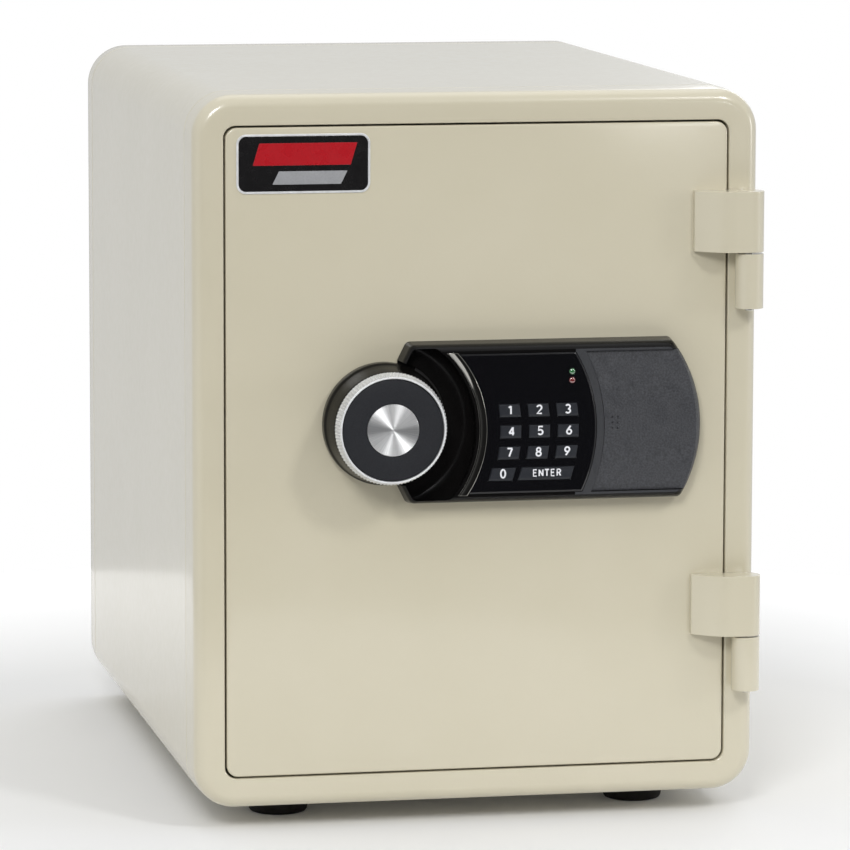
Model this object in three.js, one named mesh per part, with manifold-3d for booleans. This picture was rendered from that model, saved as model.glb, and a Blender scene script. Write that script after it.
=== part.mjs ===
// Fire-resistant in-room safe with an electronic lock: cabinet, hinged door, knob, boltwork, keypad.
// Millimetres. The object is drawn in body coordinates and then moved to its own origin:
// x = 0 is the middle of the cabinet, y = 0 its front plane (+y runs to the back), z = 0 its underside.
import * as THREE from "three";
import { mergeVertices } from "three/addons/utils/BufferGeometryUtils.js";
import Module from "manifold-3d";

const wasm = await Module();
wasm.setup();

// ---------------------------------------------------------------- driving dimensions
const GAP = 0.3; // working gap between neighbouring pieces
const SKIN = 2; // sheet thickness of the shells

const BODY = { w: 352, h: 438, d: 465, r: 26 };
const FRONT_ROUND = 8; // rounding of the front edge
const BACK_ROUND = 2;
const FRAME_DEPTH = 30;
const FRAME_WALL = 3;
const REAR_DEPTH = 22;
const BEZEL = 19.3; // width of the frame's front face
const OPENING = { w: BODY.w - 2 * BEZEL, h: BODY.h - 2 * BEZEL, r: 7.5 };
const MID_Z = BODY.h / 2;

const CAVITY = { w: 240, h: 310, front: 74, back: 395 };
const THROAT = { w: 285, h: 371 }; // the wide mouth that the door's plug fills
const SHELF = { thick: 3, front: 124, back: 390, z: 219 };
const LEDGE = { w: 8, h: 4 };

const SEAM = 1.2; // gap round the door
const DOOR = { w: OPENING.w - 2 * SEAM, h: OPENING.h - 2 * SEAM, r: OPENING.r - 0.5, edge: 12 };
const STEP = { w: 302, h: 389, back: 28 }; // first step behind the door's face
const PLUG = { w: THROAT.w - 4, h: THROAT.h - 4, back: 58, taper: 5 };

const HINGE = { x: 167.8, y: -9, r: 8.7, pin: 3, bore: 3.3, leafH: 37.5, barrelH: 33.7, gap: 1 };
const HINGE_LEAF_X = 134.5; // edge of the leaf on the door
const HINGE_TOPS = { upper: 375.7, lower: 137.9 };

const LOCK = { z: 236.6, top: 49.6, face: 44.8, h: 16, slope: 4.8, left: -50.3, slant: 5.5 };
const ARC_DROP = 3.9; // the lock's upright arcs are centred this far below its middle
const CHROME = { cx: -68.5, r: 71, w: 5.1, proud: 1.2, deep: 2, over: 0.9 };
const PANEL = { cx: -19.1, r: 89.8, proud: 0.6, thick: 2.4, half: 42.9 };
const PANEL_SEAT = { side: 4, end: 3 }; // the ledge that the panel rests on
const COVER = { cx: -26.1, r: 101.9, half: 43.1 };
const CASE_END = { cx: 52.7, r: 85.6 };
const ROSETTE = { edge: 3, left: 9, end: 16, slant: 6, top: 9 }; // how far the base lies inside the housing
const BASE_THICK = 1.6;

const KNOB = { x: -59.7, z: 237, r: 37.5, ringR: 34.6, faceR: 31, discR: 15.8, front: 38, step: 29 };
const RING_FRONT = KNOB.faceR + 1.7; // the ring narrows towards its front
const DISH = { r: 39.2, side: 2, top: 3, right: 1.4 };
const BOWL = [[2.8, 0], [3.3, 10.8], [7, 16.8], [12.5, 21.8], [17, 24.8]]; // heights and distances out
const SPINDLE_R = 5;
const CRANK = { r: 12, pin: 3, pinH: 7, disc: 17, y: 36, thick: 4 }; // throws the bolts
const CRANK_SLOT = { side: 0.5, end: 4.2 }; // play beside the crank pin, and its slot's overrun
const THROW = CRANK.r * Math.SQRT2;

const BOLT = { r: 7, y: 43, dz: 30, tip: -136.6, tail: -104, nose: 1.5 };
const CARRIAGE = { right: -42, half: 37.3, thick: 4 };
const STRIKE = { half: 42, y0: 34.5, y1: 51.5, thick: 3 };
const SEAL = { margin: 9, w: 7, thick: 1.4, r: 8 };
const SCREW = { r: 1.6, head: 3.2, headH: 1.8 };
const PLUNGER = { x: -74, r: 3, notch: 7, half: 3.8, overlap: 20 };
const SOLENOID = { w: 22, d: 18, h: 32, lift: 16, cap: 6 };

const KEY = { w: 13.2, h: 8, proud: 0.5, deep: 4, col: 17.2, pitch: 17.9, row: 7.8, rowPitch: 13, arc: 95 };
const WIDE_KEY = { x: 43.3, w: 33 };
const ZERO_KEY = { x: 16, w: 15 };
const LED = { x: 55.3, z: 31.1, pitch: 5.4, r: 1.9, proud: 0.2 };
const BOARD = { x0: 8, x1: 56, y0: -8, y1: -6.4, half: 36 };
const BATTERY = { r: 5.2, len: 44.5, pitch: 12, x: 78 };
const BADGE = { x: -108, z: 395.5, w: 82, h: 36, thick: 0.8 };
const FOOT = { inset: 62.5, r: 18.9, h: 14 };

// ---------------------------------------------------------------- materials
const paint = (colour, roughness = 0.35, metalness = 0) =>
  new THREE.MeshStandardMaterial({ color: colour, roughness, metalness });
const CREAM = 0xcdc6b0;
const BLACK = 0x1b1b1d;
const STEEL = 0xb4b4b2;
const LINING = 0xbdb8a8;
const FILL = 0xd8d4c8;

// ---------------------------------------------------------------- solids
function toSolid(geometry) {
  const bare = geometry.clone();
  bare.deleteAttribute("normal");
  bare.deleteAttribute("uv");
  const merged = mergeVertices(bare, 1e-4);
  const vertProperties = new Float32Array(merged.attributes.position.array);
  const triVerts = new Uint32Array(merged.index.array);
  return new wasm.Manifold(new wasm.Mesh({ numProp: 3, vertProperties, triVerts }));
}

function toGeometry(solid) {
  const raw = solid.getMesh();
  const geometry = new THREE.BufferGeometry();
  geometry.setAttribute("position", new THREE.BufferAttribute(raw.vertProperties, 3));
  geometry.setIndex(new THREE.BufferAttribute(raw.triVerts, 1));
  geometry.computeVertexNormals();
  return geometry;
}

const join = (...solids) => solids.reduce((a, b) => a.add(b));
const cut = (solid, ...tools) => tools.reduce((a, b) => a.subtract(b), solid);
const common = (a, b) => a.intersect(b);

function node(name, shape, material) {
  const geometry = shape.isBufferGeometry ? shape : toGeometry(shape);
  const mesh = new THREE.Mesh(geometry, material);
  mesh.name = name;
  return mesh;
}

// ---------------------------------------------------------------- outlines and blanks
function roundedRect(w, h, r, cx = 0, cy = 0) {
  const [x0, x1, y0, y1] = [cx - w / 2, cx + w / 2, cy - h / 2, cy + h / 2];
  const quarter = Math.PI / 2;
  const outline = new THREE.Shape();
  outline.absarc(x1 - r, y1 - r, r, 0, quarter);
  outline.absarc(x0 + r, y1 - r, r, quarter, 2 * quarter);
  outline.absarc(x0 + r, y0 + r, r, 2 * quarter, 3 * quarter);
  outline.absarc(x1 - r, y0 + r, r, 3 * quarter, 4 * quarter);
  outline.closePath();
  return outline;
}

// An outline in the x-z plane, extruded from y0 back to y1.
function slab(outline, y0, y1, steps = 5) {
  const geometry = new THREE.ExtrudeGeometry(outline, {
    depth: y1 - y0,
    bevelEnabled: false,
    curveSegments: steps,
  });
  geometry.rotateX(Math.PI / 2);
  geometry.translate(0, y1, 0);
  return toSolid(geometry);
}

// The same, with its edges bevelled at both ends; the outline is the face's own.
function bevelledSlab(outline, y0, y1, size, thickness, segments, steps = 6) {
  const geometry = new THREE.ExtrudeGeometry(outline, {
    depth: y1 - y0 - 2 * thickness,
    bevelEnabled: true,
    bevelSize: size,
    bevelThickness: thickness,
    bevelSegments: segments,
    curveSegments: steps,
  });
  geometry.rotateX(Math.PI / 2);
  geometry.translate(0, y1 - thickness, 0);
  return toSolid(geometry);
}

const bodySlab = (size, y0, y1, steps = size.r > 10 ? 5 : 2) =>
  slab(roundedRect(size.w, size.h, size.r ?? 2, 0, MID_Z), y0, y1, steps);

const inset = (size, by) => {
  const r = Math.max((size.r ?? 2) - by, 1);
  return { w: size.w - 2 * by, h: size.h - 2 * by, r };
};

// An outline in the x-y plane, extruded from z0 up to z1.
function pillar(outline, z0, z1, steps = 6) {
  const geometry = new THREE.ExtrudeGeometry(outline, {
    depth: z1 - z0,
    bevelEnabled: false,
    curveSegments: steps,
  });
  geometry.translate(0, 0, z0);
  return toSolid(geometry);
}

function block(x0, x1, y0, y1, z0, z1) {
  const geometry = new THREE.BoxGeometry(x1 - x0, y1 - y0, z1 - z0);
  geometry.translate((x0 + x1) / 2, (y0 + y1) / 2, (z0 + z1) / 2);
  return toSolid(geometry);
}

// Cylinders along y, x and z; the last two numbers are where each starts and ends.
function rodY(r, x, z, y0, y1, sides = 20) {
  const geometry = new THREE.CylinderGeometry(r, r, y1 - y0, sides);
  geometry.translate(x, (y0 + y1) / 2, z);
  return toSolid(geometry);
}

function rodX(r, y, z, x0, x1, sides = 20) {
  const geometry = new THREE.CylinderGeometry(r, r, x1 - x0, sides);
  geometry.rotateZ(Math.PI / 2);
  geometry.translate((x0 + x1) / 2, y, z);
  return toSolid(geometry);
}

function rodZ(r, x, y, z0, z1, sides = 20) {
  const geometry = new THREE.CylinderGeometry(r, r, z1 - z0, sides);
  geometry.rotateX(Math.PI / 2);
  geometry.translate(x, y, (z0 + z1) / 2);
  return toSolid(geometry);
}

// A turned piece on the knob's axis: profile points are (radius, height out of the door).
function turnedOnDoor(profile, sides = 28) {
  const points = profile.map(([r, h]) => new THREE.Vector2(r, h));
  const geometry = new THREE.LatheGeometry(points, sides);
  geometry.rotateX(Math.PI);
  geometry.translate(KNOB.x, 0, KNOB.z);
  const solid = toSolid(geometry);
  return solid.volume() < 0 ? turnedOnDoor([...profile].reverse(), sides) : solid;
}

// ---------------------------------------------------------------- cabinet
function frontFrame() {
  const face = inset(BODY, FRONT_ROUND);
  const outline = roundedRect(face.w, face.h, face.r, 0, MID_Z);
  const length = FRAME_DEPTH + 2 * FRONT_ROUND;
  const blank = bevelledSlab(outline, 0, length, FRONT_ROUND, FRONT_ROUND, 3, 6);
  const trimmed = common(blank, bodySlab(inset(BODY, -1), -1, FRAME_DEPTH, 2));
  const hollow = cut(
    bodySlab(inset(BODY, FRAME_WALL), FRAME_WALL, FRAME_DEPTH + 1),
    bodySlab(inset(OPENING, -FRAME_WALL), FRAME_WALL - 1, FRAME_DEPTH + 2),
  );
  return cut(trimmed, bodySlab(OPENING, -2, FRAME_DEPTH + 2), hollow);
}

function outerCasing() {
  const y0 = FRAME_DEPTH + GAP;
  const y1 = BODY.d - REAR_DEPTH - GAP;
  return cut(bodySlab(BODY, y0, y1, 6), bodySlab(inset(BODY, SKIN), y0 - 1, y1 + 1, 4));
}

function rearPanel() {
  const face = inset(BODY, BACK_ROUND);
  const y0 = BODY.d - REAR_DEPTH;
  const outline = roundedRect(face.w, face.h, face.r, 0, MID_Z);
  const blank = bevelledSlab(outline, y0 - 2 * BACK_ROUND, BODY.d, BACK_ROUND, BACK_ROUND, 1, 6);
  const hollow = bodySlab(inset(BODY, SKIN), y0 - 1, BODY.d - SKIN - 1);
  return cut(common(blank, bodySlab(inset(BODY, -1), y0, BODY.d + 1, 2)), hollow);
}

const LINER_FRONT = FRAME_DEPTH + GAP;

// The outside of the inner liner, grown by a margin, for the insulation round it.
function linerVolume(margin) {
  const grown = (size, by) => ({ w: size.w + 2 * by, h: size.h + 2 * by });
  return join(
    bodySlab(grown(THROAT, SKIN + margin), LINER_FRONT - 1, CAVITY.front + SKIN + margin),
    bodySlab(grown(CAVITY, SKIN + margin), CAVITY.front, CAVITY.back + SKIN + margin),
  );
}

function strikePocket(grow) {
  const x1 = -THROAT.w / 2 + 1;
  const x0 = -THROAT.w / 2 - STRIKE.thick - grow;
  const half = STRIKE.half + grow;
  return block(x0, x1, STRIKE.y0 - grow, STRIKE.y1 + grow, KNOB.z - half, KNOB.z + half);
}

function innerLiner() {
  const flange = bodySlab(inset(OPENING, 1), LINER_FRONT, LINER_FRONT + SKIN);
  const hollow = join(
    bodySlab(THROAT, LINER_FRONT - 1, CAVITY.front),
    bodySlab(CAVITY, CAVITY.front - 1, CAVITY.back),
  );
  const shell = cut(join(flange, linerVolume(0)), hollow, strikePocket(GAP));
  const top = SHELF.z - GAP;
  const half = CAVITY.w / 2;
  const ledge = (x0, x1) => block(x0, x1, SHELF.front + 6, SHELF.back - 6, top - LEDGE.h, top);
  return join(shell, ledge(-half - 1, LEDGE.w - half), ledge(half - LEDGE.w, half + 1));
}

function fireInsulation() {
  const boltHole = (side) =>
    rodX(BOLT.r + 2, BOLT.y, KNOB.z + side * BOLT.dz, BOLT.tip - THROW - 4, -THROAT.w / 2 + 1, 16);
  const fill = bodySlab(inset(BODY, SKIN + GAP), LINER_FRONT + SKIN + GAP, BODY.d - SKIN - 1 - GAP, 4);
  return cut(fill, linerVolume(GAP), strikePocket(2 * GAP), boltHole(1), boltHole(-1));
}

function shelf() {
  const half = CAVITY.w / 2 - 2 * GAP;
  return block(-half, half, SHELF.front, SHELF.back, SHELF.z, SHELF.z + SHELF.thick);
}

function strikePlate() {
  const x1 = -THROAT.w / 2 - 0.1;
  const plate = block(
    x1 - STRIKE.thick, x1, STRIKE.y0, STRIKE.y1, KNOB.z - STRIKE.half, KNOB.z + STRIKE.half,
  );
  const hole = (side) => rodX(BOLT.r + 1, BOLT.y, KNOB.z + side * BOLT.dz, x1 - STRIKE.thick - 1, x1 + 1);
  return cut(plate, hole(1), hole(-1));
}

function doorSeal() {
  const y1 = LINER_FRONT - 0.1;
  const outer = { w: THROAT.w + 2 * SEAL.margin, h: THROAT.h + 2 * SEAL.margin, r: SEAL.r };
  return cut(bodySlab(outer, y1 - SEAL.thick, y1, 3), bodySlab(inset(outer, SEAL.w), y1 - 3, y1 + 2, 3));
}

function foot(x, y) {
  const sole = [[0, 0], [FOOT.r - 2.4, 0], [FOOT.r - 0.6, 2], [FOOT.r, 6]];
  const profile = [...sole, [FOOT.r, FOOT.h], [0, FOOT.h]];
  const points = profile.map(([r, h]) => new THREE.Vector2(r, h));
  const geometry = new THREE.LatheGeometry(points, 20);
  geometry.rotateX(Math.PI / 2);
  geometry.translate(x, y, -FOOT.h);
  return geometry;
}

// ---------------------------------------------------------------- hinges
function hingeBarrel(leafTop) {
  const top = leafTop - HINGE.leafH - HINGE.gap;
  const bottom = top - HINGE.barrelH;
  const weld = block(HINGE.x - 6, BODY.w / 2 - FRONT_ROUND, HINGE.y, 0, bottom, top);
  const tube = join(rodZ(HINGE.r, HINGE.x, HINGE.y, bottom, top, 32), weld);
  return cut(tube, rodZ(HINGE.bore, HINGE.x, HINGE.y, bottom - 1, top + 1));
}

function hingePin(leafTop) {
  const top = leafTop - 5;
  const bottom = leafTop - HINGE.leafH - HINGE.gap - HINGE.barrelH - 1.4;
  return rodZ(HINGE.pin, HINGE.x, HINGE.y, bottom, top);
}

function leafOutline() {
  const doorEdge = DOOR.w / 2 - 0.1;
  const outline = new THREE.Shape();
  outline.moveTo(HINGE_LEAF_X, 0);
  outline.lineTo(doorEdge, 0);
  outline.lineTo(doorEdge, -2 * GAP);
  outline.lineTo(HINGE.x, HINGE.y + HINGE.r);
  outline.absarc(HINGE.x, HINGE.y, HINGE.r, Math.PI / 2, -Math.PI / 2, true);
  outline.lineTo(HINGE.x - 15, HINGE.y - HINGE.r + 0.6);
  outline.quadraticCurveTo(HINGE.x - 25, HINGE.y - HINGE.r + 1.2, HINGE_LEAF_X, -2.2);
  outline.closePath();
  return outline;
}

function hingeLeaf(leafTop) {
  const bottom = leafTop - HINGE.leafH;
  return cut(
    pillar(leafOutline(), bottom, leafTop, 10),
    rodZ(HINGE.bore, HINGE.x, HINGE.y, bottom - 1, leafTop - 4),
  );
}

// ---------------------------------------------------------------- door
const spindleHole = (y0, y1, grow = 1) => rodY(SPINDLE_R + grow, KNOB.x, KNOB.z, y0, y1);

function doorPanel() {
  const shell = cut(
    bodySlab(DOOR, 0, DOOR.edge),
    bodySlab(inset(DOOR, SKIN), SKIN, DOOR.edge + 1),
  );
  return cut(shell, spindleHole(-1, SKIN + 1));
}

// The plug that fills the throat: its free side is tapered, so that it swings clear.
function plug(by, y0, y1) {
  const slope = PLUG.taper / (PLUG.back - STEP.back);
  const freeSide = (y) => -PLUG.w / 2 + by + slope * (y - STEP.back);
  const outline = new THREE.Shape();
  outline.moveTo(freeSide(y0), y0);
  outline.lineTo(PLUG.w / 2 - by, y0);
  outline.lineTo(PLUG.w / 2 - by, y1);
  outline.lineTo(freeSide(y1), y1);
  outline.closePath();
  return pillar(outline, MID_Z - PLUG.h / 2 + by, MID_Z + PLUG.h / 2 - by);
}

const POCKET = { x0: -145, x1: -30, y0: 33, z0: 192, z1: 328 };
const HATCH = { x0: -129, x1: -36, z0: 197, z1: 323 };
const COVER_PLATE = { margin: 7, thick: 2, screwInset: 3.5 };

function screwPlaces() {
  const reach = COVER_PLATE.margin - COVER_PLATE.screwInset;
  const xs = [HATCH.x0 - reach, HATCH.x1 + reach];
  const zs = [HATCH.z0 - reach, HATCH.z1 + reach];
  return xs.flatMap((x) => zs.map((z) => [x, z]));
}

const boltPassage = (side) =>
  rodX(BOLT.r + 0.8, BOLT.y, KNOB.z + side * BOLT.dz, -PLUG.w / 2 - 1, -PLUG.w / 2 + 12);

function doorLiner() {
  const shell = cut(
    join(bodySlab(STEP, DOOR.edge + GAP, STEP.back), plug(0, STEP.back - 1, PLUG.back)),
    bodySlab(inset(STEP, SKIN), DOOR.edge, STEP.back - SKIN),
    plug(SKIN, DOOR.edge + 8, PLUG.back - SKIN),
  );
  const hatch = block(HATCH.x0, HATCH.x1, PLUG.back - SKIN - 1, PLUG.back + 1, HATCH.z0, HATCH.z1);
  const holes = screwPlaces().map(([x, z]) => rodY(2, x, z, PLUG.back - SKIN - 1, PLUG.back + 1, 12));
  return cut(shell, hatch, boltPassage(1), boltPassage(-1), ...holes);
}

function doorInsulation() {
  const fill = join(
    bodySlab(inset(DOOR, SKIN + GAP), SKIN + GAP, DOOR.edge, 3),
    bodySlab(inset(STEP, SKIN + GAP), DOOR.edge - 1, STEP.back - SKIN - GAP, 3),
    plug(SKIN + GAP, STEP.back - SKIN - 1, PLUG.back - SKIN - GAP),
  );
  const pocket = block(POCKET.x0, POCKET.x1, POCKET.y0, PLUG.back + 1, POCKET.z0, POCKET.z1);
  return cut(fill, pocket, spindleHole(-1, POCKET.y0 + 1, 2));
}

function mechanismCover() {
  const y0 = PLUG.back + 0.1;
  const grow = COVER_PLATE.margin;
  const plate = block(
    HATCH.x0 - grow, HATCH.x1 + grow, y0, y0 + COVER_PLATE.thick, HATCH.z0 - grow, HATCH.z1 + grow,
  );
  const holes = screwPlaces().map(([x, z]) => rodY(2, x, z, y0 - 1, y0 + COVER_PLATE.thick + 1, 12));
  return cut(plate, ...holes);
}

function coverScrew(x, z) {
  const seat = PLUG.back + 0.1 + COVER_PLATE.thick + 0.05;
  const shank = rodY(SCREW.r, x, z, PLUG.back - SKIN + 0.1, seat + 0.5, 12);
  return join(shank, rodY(SCREW.head, x, z, seat, seat + SCREW.headH, 16));
}

function badge() {
  const outline = roundedRect(BADGE.w, BADGE.h, 6, BADGE.x, BADGE.z);
  return slab(outline, -BADGE.thick, 0, 4);
}

// ---------------------------------------------------------------- lock housing
const ARC_Z = LOCK.z - ARC_DROP;

// x where an arc of centre cx and radius r stands at height z above the lock's middle.
const arcX = (arc, z) => arc.cx + Math.sqrt(arc.r * arc.r - (z + ARC_DROP) * (z + ARC_DROP));

// The angles at which an arc meets the heights -half and half.
const arcEnds = (arc, half) => [
  -Math.asin((half - ARC_DROP) / arc.r),
  Math.asin((half + ARC_DROP) / arc.r),
];

// A shape bounded left and right by upright arcs (or a straight left side) and by z = -half..half.
function arcOutline(left, right, half) {
  const outline = new THREE.Shape();
  const z = LOCK.z;
  const [low, high] = arcEnds(right, half);
  outline.moveTo(arcX(right, -half), z - half);
  outline.absarc(right.cx, ARC_Z, right.r, low, high, false);
  if (left.r) {
    const [leftLow, leftHigh] = arcEnds(left, half);
    outline.lineTo(arcX(left, half), z + half);
    outline.absarc(left.cx, ARC_Z, left.r, leftHigh, leftLow, true);
  } else {
    outline.lineTo(left.x + left.slant, z + half);
    outline.lineTo(left.x, z + half - 2 * left.slant);
    outline.lineTo(left.x, z - half + 2 * left.slant);
    outline.lineTo(left.x + left.slant, z - half);
  }
  outline.closePath();
  return outline;
}

const widen = (arc, by) => ({ cx: arc.cx, r: arc.r + by });

// The housing's outer form: its sides slope in from the door to the face.
function lockForm(shrink) {
  const end = widen(CASE_END, -LOCK.slope - shrink);
  const left = { x: LOCK.left + LOCK.slope + shrink, slant: LOCK.slant };
  const outline = arcOutline(left, end, LOCK.face - shrink);
  const depth = LOCK.h - shrink;
  const blank = bevelledSlab(outline, -depth, depth, LOCK.slope, depth - 0.5, 1, 12);
  return common(blank, block(-200, 200, -LOCK.h - 1, -GAP, LOCK.z - 99, LOCK.z + 99));
}

// The plate behind the housing, with a round rosette under the knob.
function basePlate(grow) {
  const left = { x: LOCK.left + ROSETTE.left, slant: ROSETTE.slant };
  const plate = arcOutline(left, widen(CASE_END, grow - ROSETTE.end), LOCK.top - ROSETTE.top + grow);
  const rosette = rodY(KNOB.r - ROSETTE.edge + grow, KNOB.x, KNOB.z, -BASE_THICK - grow, 0, 32);
  return join(slab(plate, -BASE_THICK - grow, 0, 10), rosette);
}

const lockBase = () => cut(basePlate(0), spindleHole(-LOCK.h, LOCK.h));

const panelOutline = (grow) =>
  arcOutline(widen(CHROME, grow === 0 ? GAP : 0), widen(PANEL, grow), PANEL.half + grow);

// The space that the battery cover takes between the housing's top and bottom rails.
function coverZone(grow) {
  const beyond = { cx: CASE_END.cx, r: CASE_END.r + LOCK.h };
  return slab(arcOutline(widen(COVER, -grow), beyond, COVER.half + grow), -LOCK.h - 1, LOCK.h, 12);
}

// The bowl round the knob, kept inside a thin rim, and the well that the knob's skirt stands in.
function dish() {
  const rise = BOWL.map(([height, out]) => [DISH.r + out, height]);
  const bowl = turnedOnDoor([[0, 1], [DISH.r, 1], ...rise, [0, LOCK.h + 1]]);
  const left = { x: LOCK.left + DISH.side, slant: LOCK.slant };
  const limit = arcOutline(left, widen(CHROME, -CHROME.w - DISH.right), LOCK.top - DISH.top);
  const well = rodY(DISH.r, KNOB.x, KNOB.z, -LOCK.h - 1, 1, 40);
  return join(common(bowl, slab(limit, -LOCK.h - 2, 0, 12)), well);
}

function lockFascia() {
  const front = -LOCK.h - 3;
  const chromeHalf = PANEL.half + CHROME.over + GAP;
  const chromeSeat = arcOutline(widen(CHROME, -CHROME.w), widen(CHROME, GAP), chromeHalf);
  const inside = arcOutline(
    widen(CHROME, PANEL_SEAT.side), widen(PANEL, -PANEL_SEAT.end), PANEL.half - PANEL_SEAT.end,
  );
  return cut(
    lockForm(0),
    coverZone(GAP),
    dish(),
    slab(chromeSeat, front, CHROME.deep - LOCK.h, 12),
    slab(panelOutline(GAP), front, PANEL.thick - LOCK.h, 12),
    slab(inside, front, LOCK.h, 10),
    basePlate(GAP),
  );
}

function chromeStrip() {
  const outline = arcOutline(widen(CHROME, GAP - CHROME.w), CHROME, PANEL.half + CHROME.over);
  return slab(outline, -LOCK.h - CHROME.proud, CHROME.deep - LOCK.h - GAP, 12);
}

function batteryCover() {
  const outer = common(lockForm(0), coverZone(0));
  const inner = common(lockForm(SKIN), coverZone(-SKIN));
  const reach = COVER.half - 1;
  const far = CASE_END.cx + CASE_END.r + 1;
  const overBase = block(0, far, -BASE_THICK - GAP, LOCK.h, LOCK.z - reach, LOCK.z + reach);
  const left = COVER.cx + COVER.r;
  const openSide = block(0, left + SKIN, SKIN - LOCK.h, LOCK.h, LOCK.z - reach, LOCK.z + reach);
  return cut(outer, inner, overBase, openSide);
}

function battery(index) {
  const z = LOCK.z + (index - 1.5) * BATTERY.pitch;
  return rodX(BATTERY.r, -BASE_THICK - GAP - BATTERY.r, z, BATTERY.x, BATTERY.x + BATTERY.len, 16);
}

const circuitBoard = () =>
  block(BOARD.x0, BOARD.x1, BOARD.y0, BOARD.y1, LOCK.z - BOARD.half, LOCK.z + BOARD.half);

// ---------------------------------------------------------------- keypad
// The key columns bow along an arc; this is how far they lean back at height z above the lock's middle.
const bow = (z) => Math.sqrt(KEY.arc * KEY.arc - (z + ARC_DROP) * (z + ARC_DROP)) - KEY.arc;

function keyPlaces() {
  const places = [];
  for (let digit = 1; digit <= 9; digit++) {
    const row = Math.floor((digit - 1) / 3);
    const column = (digit - 1) % 3;
    const x = KEY.col + column * KEY.pitch;
    places.push({ name: `key_${digit}`, x, z: KEY.row - row * KEY.rowPitch, w: KEY.w });
  }
  const z = KEY.row - 3 * KEY.rowPitch;
  places.push({ name: "key_0", x: ZERO_KEY.x, z, w: ZERO_KEY.w });
  places.push({ name: "key_enter", x: WIDE_KEY.x, z, w: WIDE_KEY.w });
  return places;
}

const PANEL_FACE = -LOCK.h - PANEL.proud;

// A key's block, its sides leaning with the columns.
function keyBlock(place, grow, y0, y1) {
  const [side, half] = [place.w / 2 + grow, KEY.h / 2 + grow];
  const [low, high] = [place.z - half, place.z + half];
  const outline = new THREE.Shape();
  outline.moveTo(place.x - side + bow(low), LOCK.z + low);
  outline.lineTo(place.x + side + bow(low), LOCK.z + low);
  outline.lineTo(place.x + side + bow(high), LOCK.z + high);
  outline.lineTo(place.x - side + bow(high), LOCK.z + high);
  outline.closePath();
  return slab(outline, y0, y1);
}

function keypadPanel() {
  const plate = slab(panelOutline(0), PANEL_FACE, PANEL.thick - LOCK.h - GAP, 12);
  const windows = keyPlaces().map((place) => keyBlock(place, GAP, PANEL_FACE - 1, 0));
  const lamps = [0, 1].map((i) => ledRod(i, LED.r + GAP, PANEL_FACE - 1, 0));
  return cut(plate, ...windows, ...lamps);
}

const key = (place) => keyBlock(place, 0, PANEL_FACE - KEY.proud, PANEL_FACE + KEY.deep);

const ledRod = (index, r, y0, y1) => rodY(r, LED.x, LOCK.z + LED.z - index * LED.pitch, y0, y1, 16);

const led = (index) => ledRod(index, LED.r, PANEL_FACE - LED.proud, PANEL_FACE + KEY.deep);

// ---------------------------------------------------------------- knob
// The skirt is hollow, with a boss for the spindle; the ring and the face sit on its step.
const SKIRT = {
  neck: 33.6, waist: [36.8, 8], foot: 2.2, bore: 31, ceiling: 25, boss: 9, bossFoot: 4, socket: 24,
};

const knobSkirt = () =>
  turnedOnDoor([
    [0, KNOB.step], [SKIRT.neck, KNOB.step], SKIRT.waist, [KNOB.r, SKIRT.foot],
    [KNOB.r - SKIRT.foot, SKIRT.foot], [SKIRT.bore, SKIRT.ceiling],
    [SKIRT.boss, SKIRT.ceiling], [SKIRT.boss, SKIRT.bossFoot],
    [SPINDLE_R + GAP, SKIRT.bossFoot], [SPINDLE_R + GAP, SKIRT.socket], [0, SKIRT.socket],
  ]);

const SEAT = KNOB.step + GAP; // where the ring and the face rest
const CHAMFER = 0.6;

const knobRing = () =>
  turnedOnDoor([
    [KNOB.faceR + GAP, SEAT], [KNOB.ringR, SEAT], [KNOB.ringR, SEAT + CHAMFER],
    [RING_FRONT, KNOB.front - CHAMFER], [RING_FRONT - CHAMFER, KNOB.front],
    [KNOB.faceR + CHAMFER, KNOB.front], [KNOB.faceR + GAP, KNOB.front - CHAMFER], [KNOB.faceR + GAP, SEAT],
  ], 36);

const DISC = { deep: 2.6, thick: 2.3, below: 0.3 }; // the disc's recess, and where its faces are in it

const knobFace = () =>
  turnedOnDoor([
    [0, SEAT], [KNOB.faceR, SEAT], [KNOB.faceR, KNOB.front - CHAMFER - GAP],
    [KNOB.discR + GAP, KNOB.front - CHAMFER], [KNOB.discR + GAP, KNOB.front - DISC.deep],
    [0, KNOB.front - DISC.deep],
  ]);

const knobDisc = () =>
  turnedOnDoor([
    [0, KNOB.front - DISC.thick], [KNOB.discR, KNOB.front - DISC.thick],
    [KNOB.discR, KNOB.front - DISC.below - CHAMFER], [KNOB.discR - CHAMFER, KNOB.front - DISC.below],
    [0, KNOB.front - DISC.below],
  ]);

// The crank pin stands 45 degrees past the free side at rest, so a quarter turn throws the bolts evenly.
function spindle() {
  const arm = CRANK.r * Math.SQRT1_2;
  const discEnd = CRANK.y + CRANK.thick;
  return join(
    spindleHole(GAP + 0.2 - SKIRT.socket, CRANK.y + 1, 0),
    rodY(CRANK.disc, KNOB.x, KNOB.z, CRANK.y, discEnd, 32),
    rodY(CRANK.pin, KNOB.x + arm, KNOB.z + arm, discEnd - 1, discEnd + CRANK.pinH, 16),
  );
}

// ---------------------------------------------------------------- boltwork
const CARRIAGE_TOP = KNOB.z + CARRIAGE.half;

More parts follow.
